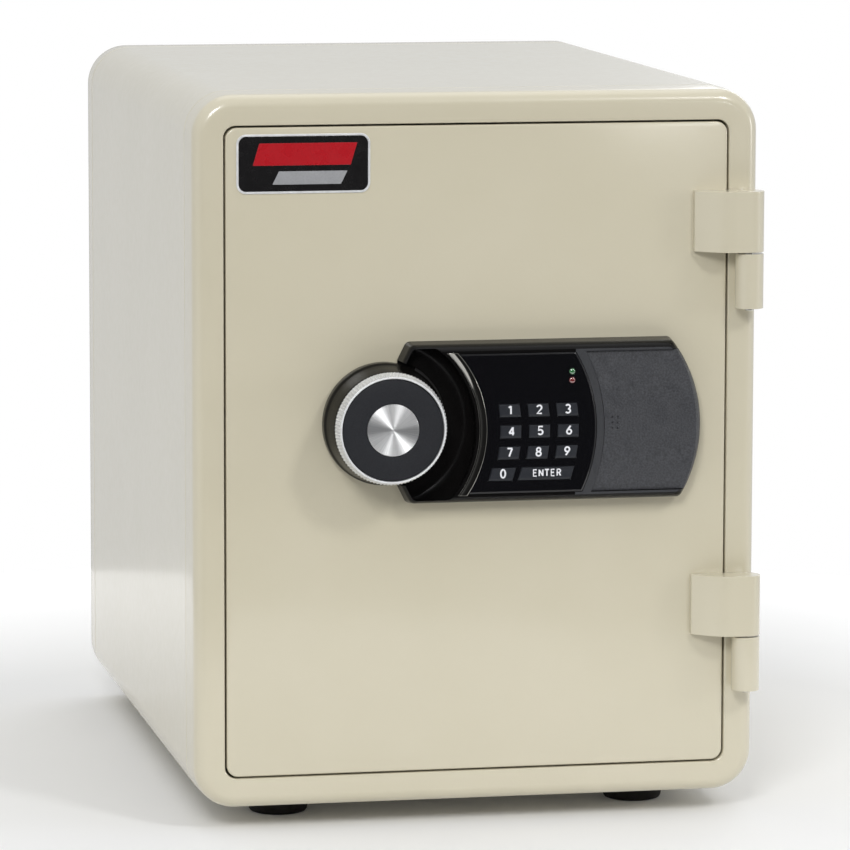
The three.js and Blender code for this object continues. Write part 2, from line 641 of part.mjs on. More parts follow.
function boltCarriage() {
  const y0 = BOLT.y - CARRIAGE.thick / 2;
  const y1 = BOLT.y + CARRIAGE.thick / 2;
  const plate = block(BOLT.tail, CARRIAGE.right, y0, y1, KNOB.z - CARRIAGE.half, CARRIAGE_TOP);
  const arm = CRANK.r * Math.SQRT1_2;
  const side = CRANK.pin + CRANK_SLOT.side;
  const x = KNOB.x + arm;
  const low = KNOB.z + arm - CRANK_SLOT.end;
  const slot = block(x - side, x + side, y0 - 1, y1 + 1, low, KNOB.z + CRANK.r + CRANK_SLOT.end);
  const notchFoot = CARRIAGE_TOP - PLUNGER.notch;
  const notch = (at) =>
    block(at - PLUNGER.half, at + PLUNGER.half, y0 - 1, y1 + 1, notchFoot, CARRIAGE_TOP + 1);
  return cut(plate, slot, notch(PLUNGER.x), notch(PLUNGER.x + THROW));
}

const deadBolt = (side) =>
  join(
    rodX(BOLT.r, BOLT.y, KNOB.z + side * BOLT.dz, BOLT.tip + BOLT.nose, BOLT.tail - 0.1),
    rodX(BOLT.r - BOLT.nose, BOLT.y, KNOB.z + side * BOLT.dz, BOLT.tip, BOLT.tip + BOLT.nose + 0.5),
  );

function solenoidBody() {
  const z0 = CARRIAGE_TOP + SOLENOID.lift;
  const coil = block(
    PLUNGER.x - SOLENOID.w / 2, PLUNGER.x + SOLENOID.w / 2,
    BOLT.y - SOLENOID.d / 2, BOLT.y + SOLENOID.d / 2, z0, z0 + SOLENOID.h,
  );
  return cut(coil, rodZ(PLUNGER.r + GAP, PLUNGER.x, BOLT.y, z0 - 1, z0 + SOLENOID.h - SOLENOID.cap, 16));
}

function latchPlunger() {
  const top = CARRIAGE_TOP + SOLENOID.lift + PLUNGER.overlap;
  return rodZ(PLUNGER.r, PLUNGER.x, BOLT.y, CARRIAGE_TOP + GAP, top, 16);
}

// ---------------------------------------------------------------- assembly
function cabinetNodes() {
  const cream = () => paint(CREAM, 0.3);
  const fx = BODY.w / 2 - FOOT.inset;
  const feet = { front_left: [-fx, FOOT.inset], front_right: [fx, FOOT.inset] };
  feet.rear_left = [-fx, BODY.d - FOOT.inset];
  feet.rear_right = [fx, BODY.d - FOOT.inset];
  return [
    node("outer_casing", outerCasing(), cream()),
    node("front_frame", frontFrame(), cream()),
    node("rear_panel", rearPanel(), cream()),
    node("fire_insulation", fireInsulation(), paint(FILL, 0.95)),
    node("inner_liner", innerLiner(), paint(LINING, 0.6)),
    node("shelf", shelf(), paint(LINING, 0.5)),
    node("strike_plate", strikePlate(), paint(STEEL, 0.4, 1)),
    node("door_seal", doorSeal(), paint(0x3c3a38, 0.9)),
    ...Object.entries(HINGE_TOPS).flatMap(([which, top]) => [
      node(`hinge_barrel_${which}`, hingeBarrel(top), cream()),
      node(`hinge_pin_${which}`, hingePin(top), paint(STEEL, 0.35, 1)),
    ]),
    ...Object.entries(feet).map(([which, [x, y]]) => node(`foot_${which}`, foot(x, y), paint(BLACK, 0.85))),
  ];
}

function doorNodes() {
  const cream = () => paint(CREAM, 0.3);
  return [
    node("door_panel", doorPanel(), cream()),
    node("door_insulation", doorInsulation(), paint(FILL, 0.95)),
    node("door_liner", doorLiner(), paint(LINING, 0.6)),
    node("mechanism_cover", mechanismCover(), paint(0xa9a598, 0.5)),
    ...screwPlaces().map(([x, z], i) =>
      node(`cover_screw_${i + 1}`, coverScrew(x, z), paint(STEEL, 0.35, 1))),
    ...Object.entries(HINGE_TOPS).map(([which, top]) =>
      node(`hinge_leaf_${which}`, hingeLeaf(top), cream())),
    node("badge", badge(), paint(0x8c1c20, 0.35)),
    node("lock_base", lockBase(), paint(BLACK, 0.6)),
    node("lock_fascia", lockFascia(), paint(BLACK, 0.25)),
    node("chrome_strip", chromeStrip(), paint(0xdadbdc, 0.1, 1)),
    node("keypad_panel", keypadPanel(), paint(0x101012, 0.1)),
    node("led_green", led(0), paint(0x2f7a3c, 0.3)),
    node("led_red", led(1), paint(0x9c2f2a, 0.3)),
    node("circuit_board", circuitBoard(), paint(0x1e5a34, 0.6)),
    ...[0, 1, 2, 3].map((i) => node(`battery_${i + 1}`, battery(i), paint(0x8a6a3a, 0.4))),
    node("solenoid_body", solenoidBody(), paint(0x6e6e70, 0.5, 1)),
  ];
}

function movingNodes() {
  return [
    node("knob_skirt", knobSkirt(), paint(BLACK, 0.3)),
    node("knob_ring", knobRing(), paint(0xc9cacb, 0.3, 1)),
    node("knob_face", knobFace(), paint(0x2b2b2e, 0.6)),
    node("knob_disc", knobDisc(), paint(0xd0d1d2, 0.3, 1)),
    node("spindle", spindle(), paint(STEEL, 0.4, 1)),
    node("bolt_carriage", boltCarriage(), paint(STEEL, 0.4, 1)),
    node("dead_bolt_upper", deadBolt(1), paint(STEEL, 0.25, 1)),
    node("dead_bolt_lower", deadBolt(-1), paint(STEEL, 0.25, 1)),
    node("latch_plunger", latchPlunger(), paint(STEEL, 0.3, 1)),
    node("battery_cover", batteryCover(), paint(0x48494c, 0.6)),
    ...keyPlaces().map((place) => node(place.name, key(place), paint(0x37393e, 0.45))),
  ];
}

const safe = new THREE.Group();
safe.add(...cabinetNodes(), ...doorNodes(), ...movingNodes());
// The origin is under the middle of the whole object's box, on the floor.
const rightmost = HINGE.x + HINGE.r;
safe.position.set(
  (BODY.w / 2 - rightmost) / 2,
  (KNOB.front - BODY.d) / 2,
  FOOT.h,
);

export default safe;
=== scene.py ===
"""The looks of a fire-resistant in-room safe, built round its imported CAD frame.

Shapes are drawn in millimetres in body coordinates: x = 0 is the middle of the cabinet, y = 0 its front
plane (+y runs to the back) and z = 0 its underside. piece() moves them into the frame, in metres.
"""
import math

import bmesh
import bpy
from mathutils import Matrix, Vector

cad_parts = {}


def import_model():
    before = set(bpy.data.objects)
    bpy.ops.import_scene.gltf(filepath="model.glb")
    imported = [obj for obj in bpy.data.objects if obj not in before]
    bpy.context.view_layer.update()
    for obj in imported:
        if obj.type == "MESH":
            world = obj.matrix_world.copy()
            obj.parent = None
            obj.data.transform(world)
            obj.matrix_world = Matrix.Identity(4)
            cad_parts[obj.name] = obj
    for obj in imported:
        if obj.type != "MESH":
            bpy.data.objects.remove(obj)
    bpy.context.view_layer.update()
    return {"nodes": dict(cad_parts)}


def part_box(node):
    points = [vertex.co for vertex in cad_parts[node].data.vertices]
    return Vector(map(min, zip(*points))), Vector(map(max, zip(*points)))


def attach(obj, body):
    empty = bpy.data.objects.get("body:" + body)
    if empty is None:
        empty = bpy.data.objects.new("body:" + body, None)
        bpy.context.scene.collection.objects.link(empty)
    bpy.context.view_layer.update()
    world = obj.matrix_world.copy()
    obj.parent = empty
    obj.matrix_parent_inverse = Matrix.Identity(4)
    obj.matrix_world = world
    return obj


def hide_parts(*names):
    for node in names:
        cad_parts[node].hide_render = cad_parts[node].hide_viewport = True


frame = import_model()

MM = 0.001
FRAME_LO, FRAME_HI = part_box("front_frame")
ORIGIN = Vector(((FRAME_LO.x + FRAME_HI.x) / 2, FRAME_LO.y, FRAME_LO.z))


def span(node):
    """A CAD node's lowest and highest corners, in body millimetres."""
    lo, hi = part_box(node)
    return (lo - ORIGIN) / MM, (hi - ORIGIN) / MM


# ---------------------------------------------------------------- driving dimensions
GAP = 0.3
SKIN = 2.0
BODY_W, BODY_H, BODY_R = 352.0, 438.0, 26.0
MID_Z = BODY_H / 2
FRONT_ROUND = 8.0
DRAFT = 0.7  # how far the front frame's sides lean in towards the front
BEZEL = 19.3
OPENING_R = 7.5
DOOR_R = 7.0
DOOR_EDGE_ROUND = 1.1
FRAME_DEPTH = span("front_frame")[1].y
REAR_FRONT, REAR_BACK = span("rear_panel")[0].y, span("rear_panel")[1].y

HINGE_X, HINGE_Y, HINGE_R = 167.8, -9.0, 8.7
LEAF_X = 134.5

LOCK_Z = 236.6
ARC_DROP = 3.9  # the lock's upright arcs are centred this far below its middle
LOCK_FACE, LOCK_H, LOCK_SLOPE, LOCK_LEFT, LOCK_SLANT = 44.8, 16.0, 4.8, -50.3, 5.5
CHROME_CX, CHROME_R, CHROME_W, CHROME_PROUD = -68.5, 71.0, 5.1, 1.2
PANEL_CX, PANEL_R, PANEL_HALF, PANEL_PROUD, PANEL_THICK = -19.1, 89.8, 42.9, 0.6, 2.4
COVER_CX, COVER_R, COVER_HALF, COVER_CROWN = -26.1, 101.9, 43.1, 2.0
END_CX, END_R = 52.7, 85.6
BASE_INSET, BASE_END, BASE_THICK = 9, 16, 1.6
VENT_X, VENT_Z, VENT_PITCH, VENT_R = 80.5, 232.0, (3.4, 3.5), 0.65

KNOB_X, KNOB_Z = -59.7, 237.0
KNOB_AXIS = Vector((KNOB_X, 0.0, KNOB_Z))
SKIRT_R, RING_R, FACE_R, DISC_R = 37.5, 34.6, 31.0, 15.8
KNOB_FRONT, KNOB_STEP, DISH_R = 38.0, 29.0, 39.2
RING_FRONT = FACE_R + 1.7
RIDGES, RIDGE_DEPTH = 100, 1.1

KEY_LEAN_R = 95.0
DIGIT_H, WORD_H = 5.4, 4.3
LED_R = 1.9

CORNER_STEPS = 14
ARC_STEPS = 40

# The studio, in metres in the frame; the camera is turned in degrees and its lens is in millimetres.
FLOOR_R = 0.8
CAMERA_AT, CAMERA_TURN = (-0.65995, -3.34269, 0.68410), (82.2306, -0.1280, -11.3099)
CAMERA_LENS = 223.86


# ---------------------------------------------------------------- outlines
def circle_turns(steps):
    """Equal angles round a full circle."""
    return [2 * math.pi * i / steps for i in range(steps)]


def arc(cx, cy, r, start, end, steps):
    """Points on a circle from one angle to another, in degrees, both ends included."""
    turns = [math.radians(start + (end - start) * i / steps) for i in range(steps + 1)]
    return [(cx + r * math.cos(t), cy + r * math.sin(t)) for t in turns]


def rounded_rect(w, h, r, cx=0.0, cz=MID_Z, steps=CORNER_STEPS):
    corners = ((1, 1, 0), (-1, 1, 90), (-1, -1, 180), (1, -1, 270))
    return [
        point
        for sx, sz, turn in corners
        for point in arc(cx + sx * (w / 2 - r), cz + sz * (h / 2 - r), r, turn, turn + 90, steps)
    ]


def upright_arc(cx, r, half, steps=ARC_STEPS):
    """An arc bulging to +x, from z = -half to +half above the lock's middle."""
    low = math.degrees(math.asin((half - ARC_DROP) / r))
    high = math.degrees(math.asin((half + ARC_DROP) / r))
    return arc(cx, LOCK_Z - ARC_DROP, r, -low, high, steps)


def between_arcs(left, right, half):
    """The outline between two upright arcs, each given as (centre, radius)."""
    return upright_arc(*right, half) + upright_arc(*left, half)[::-1]


def eased(before, corner, after, radius, steps=6):
    """The points that round off one corner of an outline."""
    p = Vector(corner)
    u = (Vector(before) - p).normalized()
    v = (Vector(after) - p).normalized()
    half_angle = u.angle(v) / 2
    centre = p + (u + v).normalized() * radius / math.sin(half_angle)
    reach = radius / math.tan(half_angle)
    first, last = p + u * reach - centre, p + v * reach - centre
    start = math.degrees(math.atan2(first.y, first.x))
    sweep = (math.degrees(math.atan2(last.y, last.x)) - start + 180) % 360 - 180
    return arc(centre.x, centre.y, radius, start, start + sweep, steps)


def lock_left(left, half, radius):
    """The left side of the lock's outline from its top down, corners rounded."""
    slant = LOCK_SLANT
    corner = [(left + slant, half), (left, half - 2 * slant), (left, 2 * slant - half), (left + slant, -half)]
    path = [(left + 20, half), *corner, (left + 20, -half)]
    return [
        (x, LOCK_Z + z)
        for before, here, after in zip(path, path[1:], path[2:])
        for x, z in eased(before, here, after, radius)
    ]


def arc_end(cx, r, half, radius, side, steps=8):
    """The rounded corner where an upright arc meets the top (side 1) or bottom (side -1) of an outline."""
    rise = half - radius + side * ARC_DROP
    turn = math.degrees(math.asin(rise / (r - radius)))
    x = cx + math.sqrt((r - radius) ** 2 - rise**2)
    return turn, arc(x, LOCK_Z + side * (half - radius), radius, side * turn, side * 90, steps)


def housing_outline(grow, radius=4.0):
    """The lock housing's outline at its face, grown on all sides."""
    half = LOCK_FACE + grow
    r = END_R - LOCK_SLOPE + grow
    high, top = arc_end(END_CX, r, half, radius, 1)
    low, bottom = arc_end(END_CX, r, half, radius, -1)
    end = arc(END_CX, LOCK_Z - ARC_DROP, r, -low, high, ARC_STEPS)
    return bottom[:0:-1] + end + top[1:] + lock_left(LOCK_LEFT + LOCK_SLOPE - grow, half, radius)


# ---------------------------------------------------------------- solids
def loft(loops, closed=False):
    """A skin through equal loops of points: closed onto its first loop, or capped at both ends."""
    bm = bmesh.new()
    rows = [[bm.verts.new(p) for p in loop] for loop in loops]
    count = len(rows[0])
    for low, high in zip(rows, rows[1:] + (rows[:1] if closed else [])):
        for i in range(count):
            j = (i + 1) % count
            bm.faces.new((low[i], low[j], high[j], high[i]))
    if not closed:
        bm.faces.new(rows[0])
        bm.faces.new(rows[-1])
    bmesh.ops.remove_doubles(bm, verts=bm.verts, dist=1e-3)
    bmesh.ops.recalc_face_normals(bm, faces=bm.faces)
    return bm


def prism(outline, start, end, axis="y"):
    """An outline extruded along an axis, drawn in the plane of the other two."""
    if axis == "x":
        return loft([[(x, y, z) for y, z in outline] for x in (start, end)])
    if axis == "y":
        return loft([[(x, y, z) for x, z in outline] for y in (start, end)])
    return loft([[(x, y, z) for x, y in outline] for z in (start, end)])


def framed(w, h, r, profile, closed, cx=0.0, cz=MID_Z):
    """A profile of (inset, y) points carried round a rounded rectangle."""
    least = OPENING_R if closed else 1.0
    return loft(
        [
            [(x, y, z) for x, z in rounded_rect(w - 2 * d, h - 2 * d, max(r - d, least), cx, cz)]
            for d, y in profile
        ],
        closed,
    )


def turned(profile, closed=False, steps=128):
    """A piece turned on the knob's axis: profile points are (radius, height out of the door)."""
    sides = circle_turns(steps)
    return loft(
        [
            [(KNOB_X + r * math.cos(t), -height, KNOB_Z + r * math.sin(t)) for t in sides]
            for r, height in profile
        ],
        closed,
    )


def block(x0, x1, y0, y1, z0, z1):
    return prism([(x0, z0), (x1, z0), (x1, z1), (x0, z1)], y0, y1)


def combined(bm, tools, operation):
    """The exact boolean of a solid with each of the tools in turn."""

    def stand_in(solid):
        mesh = bpy.data.meshes.new("solid")
        solid.to_mesh(mesh)
        solid.free()
        made = bpy.data.objects.new("solid", mesh)
        bpy.context.scene.collection.objects.link(made)
        return made

    base = stand_in(bm)
    cutters = [stand_in(tool) for tool in tools]
    for cutter in cutters:
        modifier = base.modifiers.new("boolean", "BOOLEAN")
        modifier.operation = operation
        modifier.solver = "EXACT"
        modifier.object = cutter
    evaluated = base.evaluated_get(bpy.context.evaluated_depsgraph_get())
    result = bpy.data.meshes.new_from_object(evaluated)
    out = bmesh.new()
    out.from_mesh(result)
    for thing in [base, *cutters]:
        bpy.data.objects.remove(thing)
    bmesh.ops.remove_doubles(out, verts=out.verts, dist=1e-3)
    bmesh.ops.dissolve_degenerate(out, edges=out.edges, dist=1e-3)
    return out


def cut(bm, *tools):
    return combined(bm, tools, "DIFFERENCE")


def refined(node):
    """A CAD node's own shape with its facets merged, ready for rounded edges."""
    bm = bmesh.new()
    bm.from_mesh(frame["nodes"][node].data)
    bmesh.ops.remove_doubles(bm, verts=bm.verts, dist=1e-6)
    bmesh.ops.dissolve_limit(
        bm, angle_limit=math.radians(1), verts=bm.verts, edges=bm.edges, use_dissolve_boundaries=False
    )
    for vertex in bm.verts:
        vertex.co = (vertex.co - ORIGIN) / MM
    return bm


def piece(name, bm, body, material, nodes=(), bevel=0.0, smooth=32, segments=3, centre=None):
    """Turns a solid into a shown object that rides on a CAD body."""
    at = ORIGIN + centre * MM if centre is not None else Vector((0.0, 0.0, 0.0))
    for vertex in bm.verts:
        vertex.co = ORIGIN + vertex.co * MM - at
    mesh = bpy.data.meshes.new(name)
    bm.to_mesh(mesh)
    bm.free()
    mesh.polygons.foreach_set("use_smooth", [True] * len(mesh.polygons))
    mesh.set_sharp_from_angle(angle=math.radians(smooth))
    made = bpy.data.objects.new(name, mesh)
    bpy.context.scene.collection.objects.link(made)
    made.location = at
    for one in material if isinstance(material, (list, tuple)) else [material]:
        mesh.materials.append(one)
    if bevel:
        modifier = made.modifiers.new("rounded edges", "BEVEL")
        modifier.width = bevel * MM
        modifier.segments = segments
        modifier.limit_method = "ANGLE"
        modifier.angle_limit = math.radians(smooth)
        modifier.harden_normals = True
        modifier.miter_outer = "MITER_ARC"
    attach(made, body)
    if nodes:
        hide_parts(*nodes)
    return made


# ---------------------------------------------------------------- materials
def srgb(r, g, b):
    """A display colour, 0 to 255, as linear RGBA."""
    def linear(v):
        v /= 255
        return v / 12.92 if v <= 0.04045 else ((v + 0.055) / 1.055) ** 2.4

    return (linear(r), linear(g), linear(b), 1.0)


def shaded(colour, factor):
    """A linear colour made darker or lighter."""
    return tuple(c * factor for c in colour[:3]) + (1,)


class Surface:
    """A Principled material whose colour, roughness and bump come from procedural nodes."""

    def __init__(self, name, colour, roughness, **sockets):
        self.material = bpy.data.materials.new(name)
        self.material.use_nodes = True
        self.tree = self.material.node_tree
        self.shader = self.tree.nodes["Principled BSDF"]
        self.shader.inputs["Base Color"].default_value = colour
        self.shader.inputs["Roughness"].default_value = roughness
        for socket, value in sockets.items():
            self.shader.inputs[socket.replace("_", " ")].default_value = value
        self.coordinates = self.node("TexCoord").outputs["Object"]
        self.height = None

    def node(self, kind, **inputs):
        made = self.tree.nodes.new("ShaderNode" + kind)
        for socket, value in inputs.items():
            self.feed(made.inputs[socket.replace("_", " ")], value)
        return made

    def feed(self, socket, value):
        if isinstance(value, bpy.types.NodeSocket):
            self.tree.links.new(value, socket)
        else:
            socket.default_value = value

    def noise(self, scale, detail=3.0, rough=0.55, stretch=(1, 1, 1)):
        mapped = self.node("Mapping", Vector=self.coordinates, Scale=stretch)
        made = self.node("TexNoise", Vector=mapped.outputs[0], Scale=scale, Detail=detail, Roughness=rough)
        return made.outputs["Fac"]

    def ranged(self, value, low, high, start=0.3, end=0.7):
        made = self.node("MapRange", Value=value)
        for socket, number in zip(("From Min", "From Max", "To Min", "To Max"), (start, end, low, high)):
            made.inputs[socket].default_value = number
        return made.outputs["Result"]

    def tinted(self, value, dark, light, start=0.3, end=0.7):
        """Base colour between two colours, by a value."""
        mix = self.tree.nodes.new("ShaderNodeMix")
        mix.data_type = "RGBA"
        self.feed(mix.inputs[0], self.ranged(value, 0.0, 1.0, start, end))
        self.feed(mix.inputs[6], dark)
        self.feed(mix.inputs[7], light)
        self.feed(self.shader.inputs["Base Color"], mix.outputs[2])
        return self

    def roughened(self, value, low, high):
        self.feed(self.shader.inputs["Roughness"], self.ranged(value, low, high))
        return self

    def bumped(self, value, depth, strength=1.0):
        """Relief of that depth in millimetres; several calls add up."""
        made = self.node("Bump", Strength=strength, Distance=depth * MM, Height=value)
        if self.height is not None:
            self.feed(made.inputs["Normal"], self.height)
        self.height = made.outputs[0]
        self.feed(self.shader.inputs["Normal"], self.height)
        return self

    def radial(self, scale):
        """Noise that only changes with distance from the object's y axis."""
        split = self.node("SeparateXYZ", Vector=self.coordinates)
        flat = self.node("CombineXYZ", X=split.outputs[0], Y=split.outputs[2])
        length = self.tree.nodes.new("ShaderNodeVectorMath")
        length.operation = "LENGTH"
        self.feed(length.inputs[0], flat.outputs[0])
        made = self.tree.nodes.new("ShaderNodeTexNoise")
        made.noise_dimensions = "1D"
        self.feed(made.inputs["W"], length.outputs["Value"])
        made.inputs["Scale"].default_value = scale
        made.inputs["Detail"].default_value = 4.0
        return made.outputs["Fac"]

    def sunray(self, scale):
        """Noise that only changes with the angle about the object's y axis."""
        split = self.node("SeparateXYZ", Vector=self.coordinates)
        flat = self.node("CombineXYZ", X=split.outputs[0], Y=split.outputs[2])
        unit = self.tree.nodes.new("ShaderNodeVectorMath")
        unit.operation = "NORMALIZE"
        self.feed(unit.inputs[0], flat.outputs[0])
        made = self.node("TexNoise", Vector=unit.outputs[0], Scale=scale, Detail=2.0)
        return made.outputs["Fac"]


def cream_paint():
    s = Surface("cream_powder_coat", srgb(206, 199, 177), 0.3, Coat_Weight=0.8, Coat_Roughness=0.12)
    s.tinted(s.noise(12, 2), srgb(205, 198, 175), srgb(208, 201, 179))
    s.roughened(s.noise(160, 2), 0.28, 0.34)
    s.bumped(s.noise(420, 1.5), 0.04)
    s.bumped(s.noise(90, 1), 0.02)
    return s.material


def inner_coating():
    s = Surface("inner_coating", srgb(186, 181, 166), 0.55)
    s.tinted(s.noise(160, 4), srgb(183, 178, 163), srgb(189, 184, 169))
    s.bumped(s.noise(900, 3), 0.05)
    return s.material


def cast_fill():
    s = Surface("cast_fill", srgb(205, 200, 188), 0.95)
    s.tinted(s.noise(120, 6), srgb(188, 182, 168), srgb(214, 210, 200))
    s.bumped(s.noise(260, 8, 0.7), 0.6)
    return s.material


def rubber(name, colour):
    s = Surface(name, colour, 0.75, Specular_IOR_Level=0.35)
    s.tinted(s.noise(300, 4), shaded(colour, 0.8), shaded(colour, 1.25))
    s.roughened(s.noise(200, 3), 0.62, 0.85)
    s.bumped(s.noise(1100, 3), 0.05)
    return s.material


def steel(name, colour, roughness, stretch, metallic=1.0):
    s = Surface(name, colour, roughness, Metallic=metallic)
    s.tinted(s.noise(260, 4, 0.6, stretch), shaded(colour, 0.86), colour)
    s.roughened(s.noise(180, 3, 0.5, stretch), roughness * 0.8, roughness * 1.3)
    s.bumped(s.noise(700, 2, 0.5, stretch), 0.01)
    return s.material


def moulded(name, colour, roughness, grain=0.012, grain_scale=1500, fleck=0.12, **sockets):
    """Moulded plastic with a fine surface grain."""
    s = Surface(name, colour, roughness, **sockets)
    s.tinted(s.noise(grain_scale, 2), shaded(colour, 1 - fleck), shaded(colour, 1 + fleck), 0.35, 0.65)
    s.roughened(s.noise(140, 3), roughness * 0.85, roughness * 1.2)
    s.bumped(s.noise(grain_scale, 2), grain)
    return s.material


def spun_aluminium():
    s = Surface(
        "spun_aluminium", srgb(232, 233, 235), 0.48,
        Metallic=1.0, Anisotropic=0.95, Anisotropic_Rotation=0.25,
    )
    tangent = s.tree.nodes.new("ShaderNodeTangent")
    tangent.direction_type = "RADIAL"
    tangent.axis = "Y"
    s.feed(s.shader.inputs["Tangent"], tangent.outputs[0])
    s.tinted(s.sunray(22), srgb(236, 237, 238), srgb(254, 254, 254), 0.35, 0.65)
    s.roughened(s.radial(3000), 0.45, 0.52)
    s.bumped(s.radial(4200), 0.0012)
    return s.material


def lens(name, colour, glow):
    s = Surface(name, colour, 0.12, Coat_Weight=1.0, Coat_Roughness=0.08, Coat_IOR=2.2)
    s.shader.inputs["Emission Color"].default_value = colour
    s.shader.inputs["Emission Strength"].default_value = glow
    s.tinted(s.noise(900, 2), shaded(colour, 0.8), colour)
    s.bumped(s.noise(1600, 1), 0.01)
    return s.material


CREAM = cream_paint()
LINING = inner_coating()
FILL = cast_fill()
SEAL = rubber("seal_strip", srgb(52, 49, 46))
RUBBER = rubber("black_rubber", srgb(20, 17, 15))
STEEL = steel("bright_steel", srgb(196, 196, 194), 0.28, (1, 0.05, 1))
ROD_STEEL = steel("turned_steel", srgb(208, 208, 206), 0.22, (0.05, 1, 1))
CHROME = steel("bright_chrome", srgb(160, 158, 153), 0.07, (1, 1, 0.2))
GLOSS_BLACK = moulded("gloss_black_housing", srgb(15, 14, 14), 0.2, 0.004, 900, 0.05, Specular_IOR_Level=0.2)
KNOB_BLACK = moulded("knob_black", srgb(13, 12, 11), 0.2, 0.004, 900, 0.05, Specular_IOR_Level=0.1)
SATIN_BLACK = moulded("satin_black_base", srgb(26, 25, 25), 0.5, 0.02, 1300)
PANEL_BLACK = moulded(
    "gloss_panel", srgb(12, 12, 15), 0.12, 0.002, 500, 0.04,
    Specular_IOR_Level=0.4, Coat_Weight=0.35, Coat_Roughness=0.04,
)
COVER_GREY = moulded("cover_grey", srgb(54, 55, 59), 0.46, 0.07, 950, 0.35, Specular_IOR_Level=0.7)
STRIP_GREY = moulded("strip_grey", srgb(56, 57, 60), 0.4, 0.015, 1400, 0.1, Specular_IOR_Level=0.5)
KEY_GREY = moulded("key_black", srgb(40, 42, 47), 0.4, 0.015, 1400, 0.08, Specular_IOR_Level=0.3)
INSERT_GREY = moulded("knob_insert", srgb(34, 35, 39), 0.6, 0.02, 1400, 0.15, Specular_IOR_Level=0.25)
PRINT_WHITE = moulded("white_print", srgb(235, 236, 240), 0.45, 0.004, 1400, 0.02)
BADGE_BLACK = moulded("badge_black", srgb(22, 21, 22), 0.25, 0.004, 900, 0.05)
BADGE_RED = moulded(
    "badge_red", srgb(176, 24, 34), 0.28, 0.004, 900, 0.05, Coat_Weight=0.5, Coat_Roughness=0.05,
)
BADGE_SILVER = moulded("badge_silver", srgb(178, 179, 182), 0.35, 0.004, 900, 0.05, Metallic=0.4)
ALUMINIUM = steel("satin_aluminium", srgb(236, 237, 238), 0.5, (1, 1, 1), 0.5)
DISC_METAL = spun_aluminium()
GREEN_LENS = lens("green_lens", srgb(44, 112, 62), 0.05)
RED_LENS = lens("red_lens", srgb(118, 34, 33), 0.05)
BOARD = moulded("board_green", srgb(30, 84, 50), 0.45, 0.03, 500, 0.2)
JACKET = moulded("battery_jacket", srgb(150, 110, 60), 0.3, 0.004, 700, 0.1, Coat_Weight=0.4)


# ---------------------------------------------------------------- cabinet
def corner(inset, y, radius, start, end, steps=6):
    """Points of a rounding in an (inset, y) profile, about its own centre."""
    return arc(inset, y, radius, start, end, steps)


def cabinet_shell():
    soft = 0.6
    frame_profile = [
        (soft, FRAME_DEPTH),
        (0.0, FRAME_DEPTH - soft),
        (0.0, FRAME_DEPTH - 4),
        *corner(FRONT_ROUND + DRAFT, FRONT_ROUND, FRONT_ROUND, 180, 270, 12),
        *corner(BEZEL - DOOR_EDGE_ROUND, DOOR_EDGE_ROUND, DOOR_EDGE_ROUND, 270, 360),
        (BEZEL, FRAME_DEPTH),
        (BEZEL - 3, FRAME_DEPTH),
        (BEZEL - 3, 3.0),
        (FRONT_ROUND, 3.0),
        (3.0, FRONT_ROUND),
        (3.0, FRAME_DEPTH),
    ]
    shell = framed(BODY_W, BODY_H, BODY_R, frame_profile, True)
    piece("front_frame_steel", shell, "cabinet", CREAM, ["front_frame"])

    lo, hi = span("outer_casing")
    casing_profile = [
        (soft, lo.y), (0.0, lo.y + soft), (0.0, hi.y - soft), (soft, hi.y), (SKIN, hi.y), (SKIN, lo.y),
    ]
    piece(
        "outer_casing_steel", framed(BODY_W, BODY_H, BODY_R, casing_profile, True),
        "cabinet", CREAM, ["outer_casing"],
    )

    edge = 2.0
    emboss = 30.0
    rear_profile = [
        (SKIN, REAR_BACK - 3), (SKIN, REAR_FRONT), (soft, REAR_FRONT), (0.0, REAR_FRONT + soft),
        *corner(edge, REAR_BACK - edge, edge, 180, 90),
        (emboss, REAR_BACK), (emboss + 0.6, REAR_BACK - 0.1), (emboss + 2.6, REAR_BACK - 1.1),
        (emboss + 3.4, REAR_BACK - 1.2),
    ]
    piece(
        "rear_panel_steel", framed(BODY_W, BODY_H, BODY_R, rear_profile, False),
        "cabinet", CREAM, ["rear_panel"],
    )


def foot(node):
    lo, hi = span(node)
    middle = (lo + hi) / 2
    r = (hi.x - lo.x) / 2
    profile = [
        (0, 2.5), (6, 2.5), (7, 0.6), (8, 0.0), (r - 3, 0.0), (r - 1.6, 0.5), (r - 0.7, 1.8),
        (r - 0.3, 4.0), (r, 6.5), (r, 12.6), (r - 0.5, 13.6), (r - 1.5, 14.0), (0, 14.0),
    ]
    sides = circle_turns(72)
    rows = [
        [(middle.x + radius * math.cos(t), middle.y + radius * math.sin(t), lo.z + height) for t in sides]
        for radius, height in profile
    ]
    piece(node + "_rubber", loft(rows), "cabinet", RUBBER, [node])


def cabinet_inside():
    for node, slot, finish, bevel in (
        ("inner_liner", "inner_coating", LINING, 0.8),
        ("shelf", "inner_coating", LINING, 0.8),
        ("strike_plate", "bright_steel", STEEL, 0.4),
        ("door_seal", "seal_strip", SEAL, 0.5),
        ("fire_insulation", "cast_fill", FILL, 0.0),
    ):
        piece(node + "_detail", refined(node), "cabinet", finish, [node], bevel, 50)


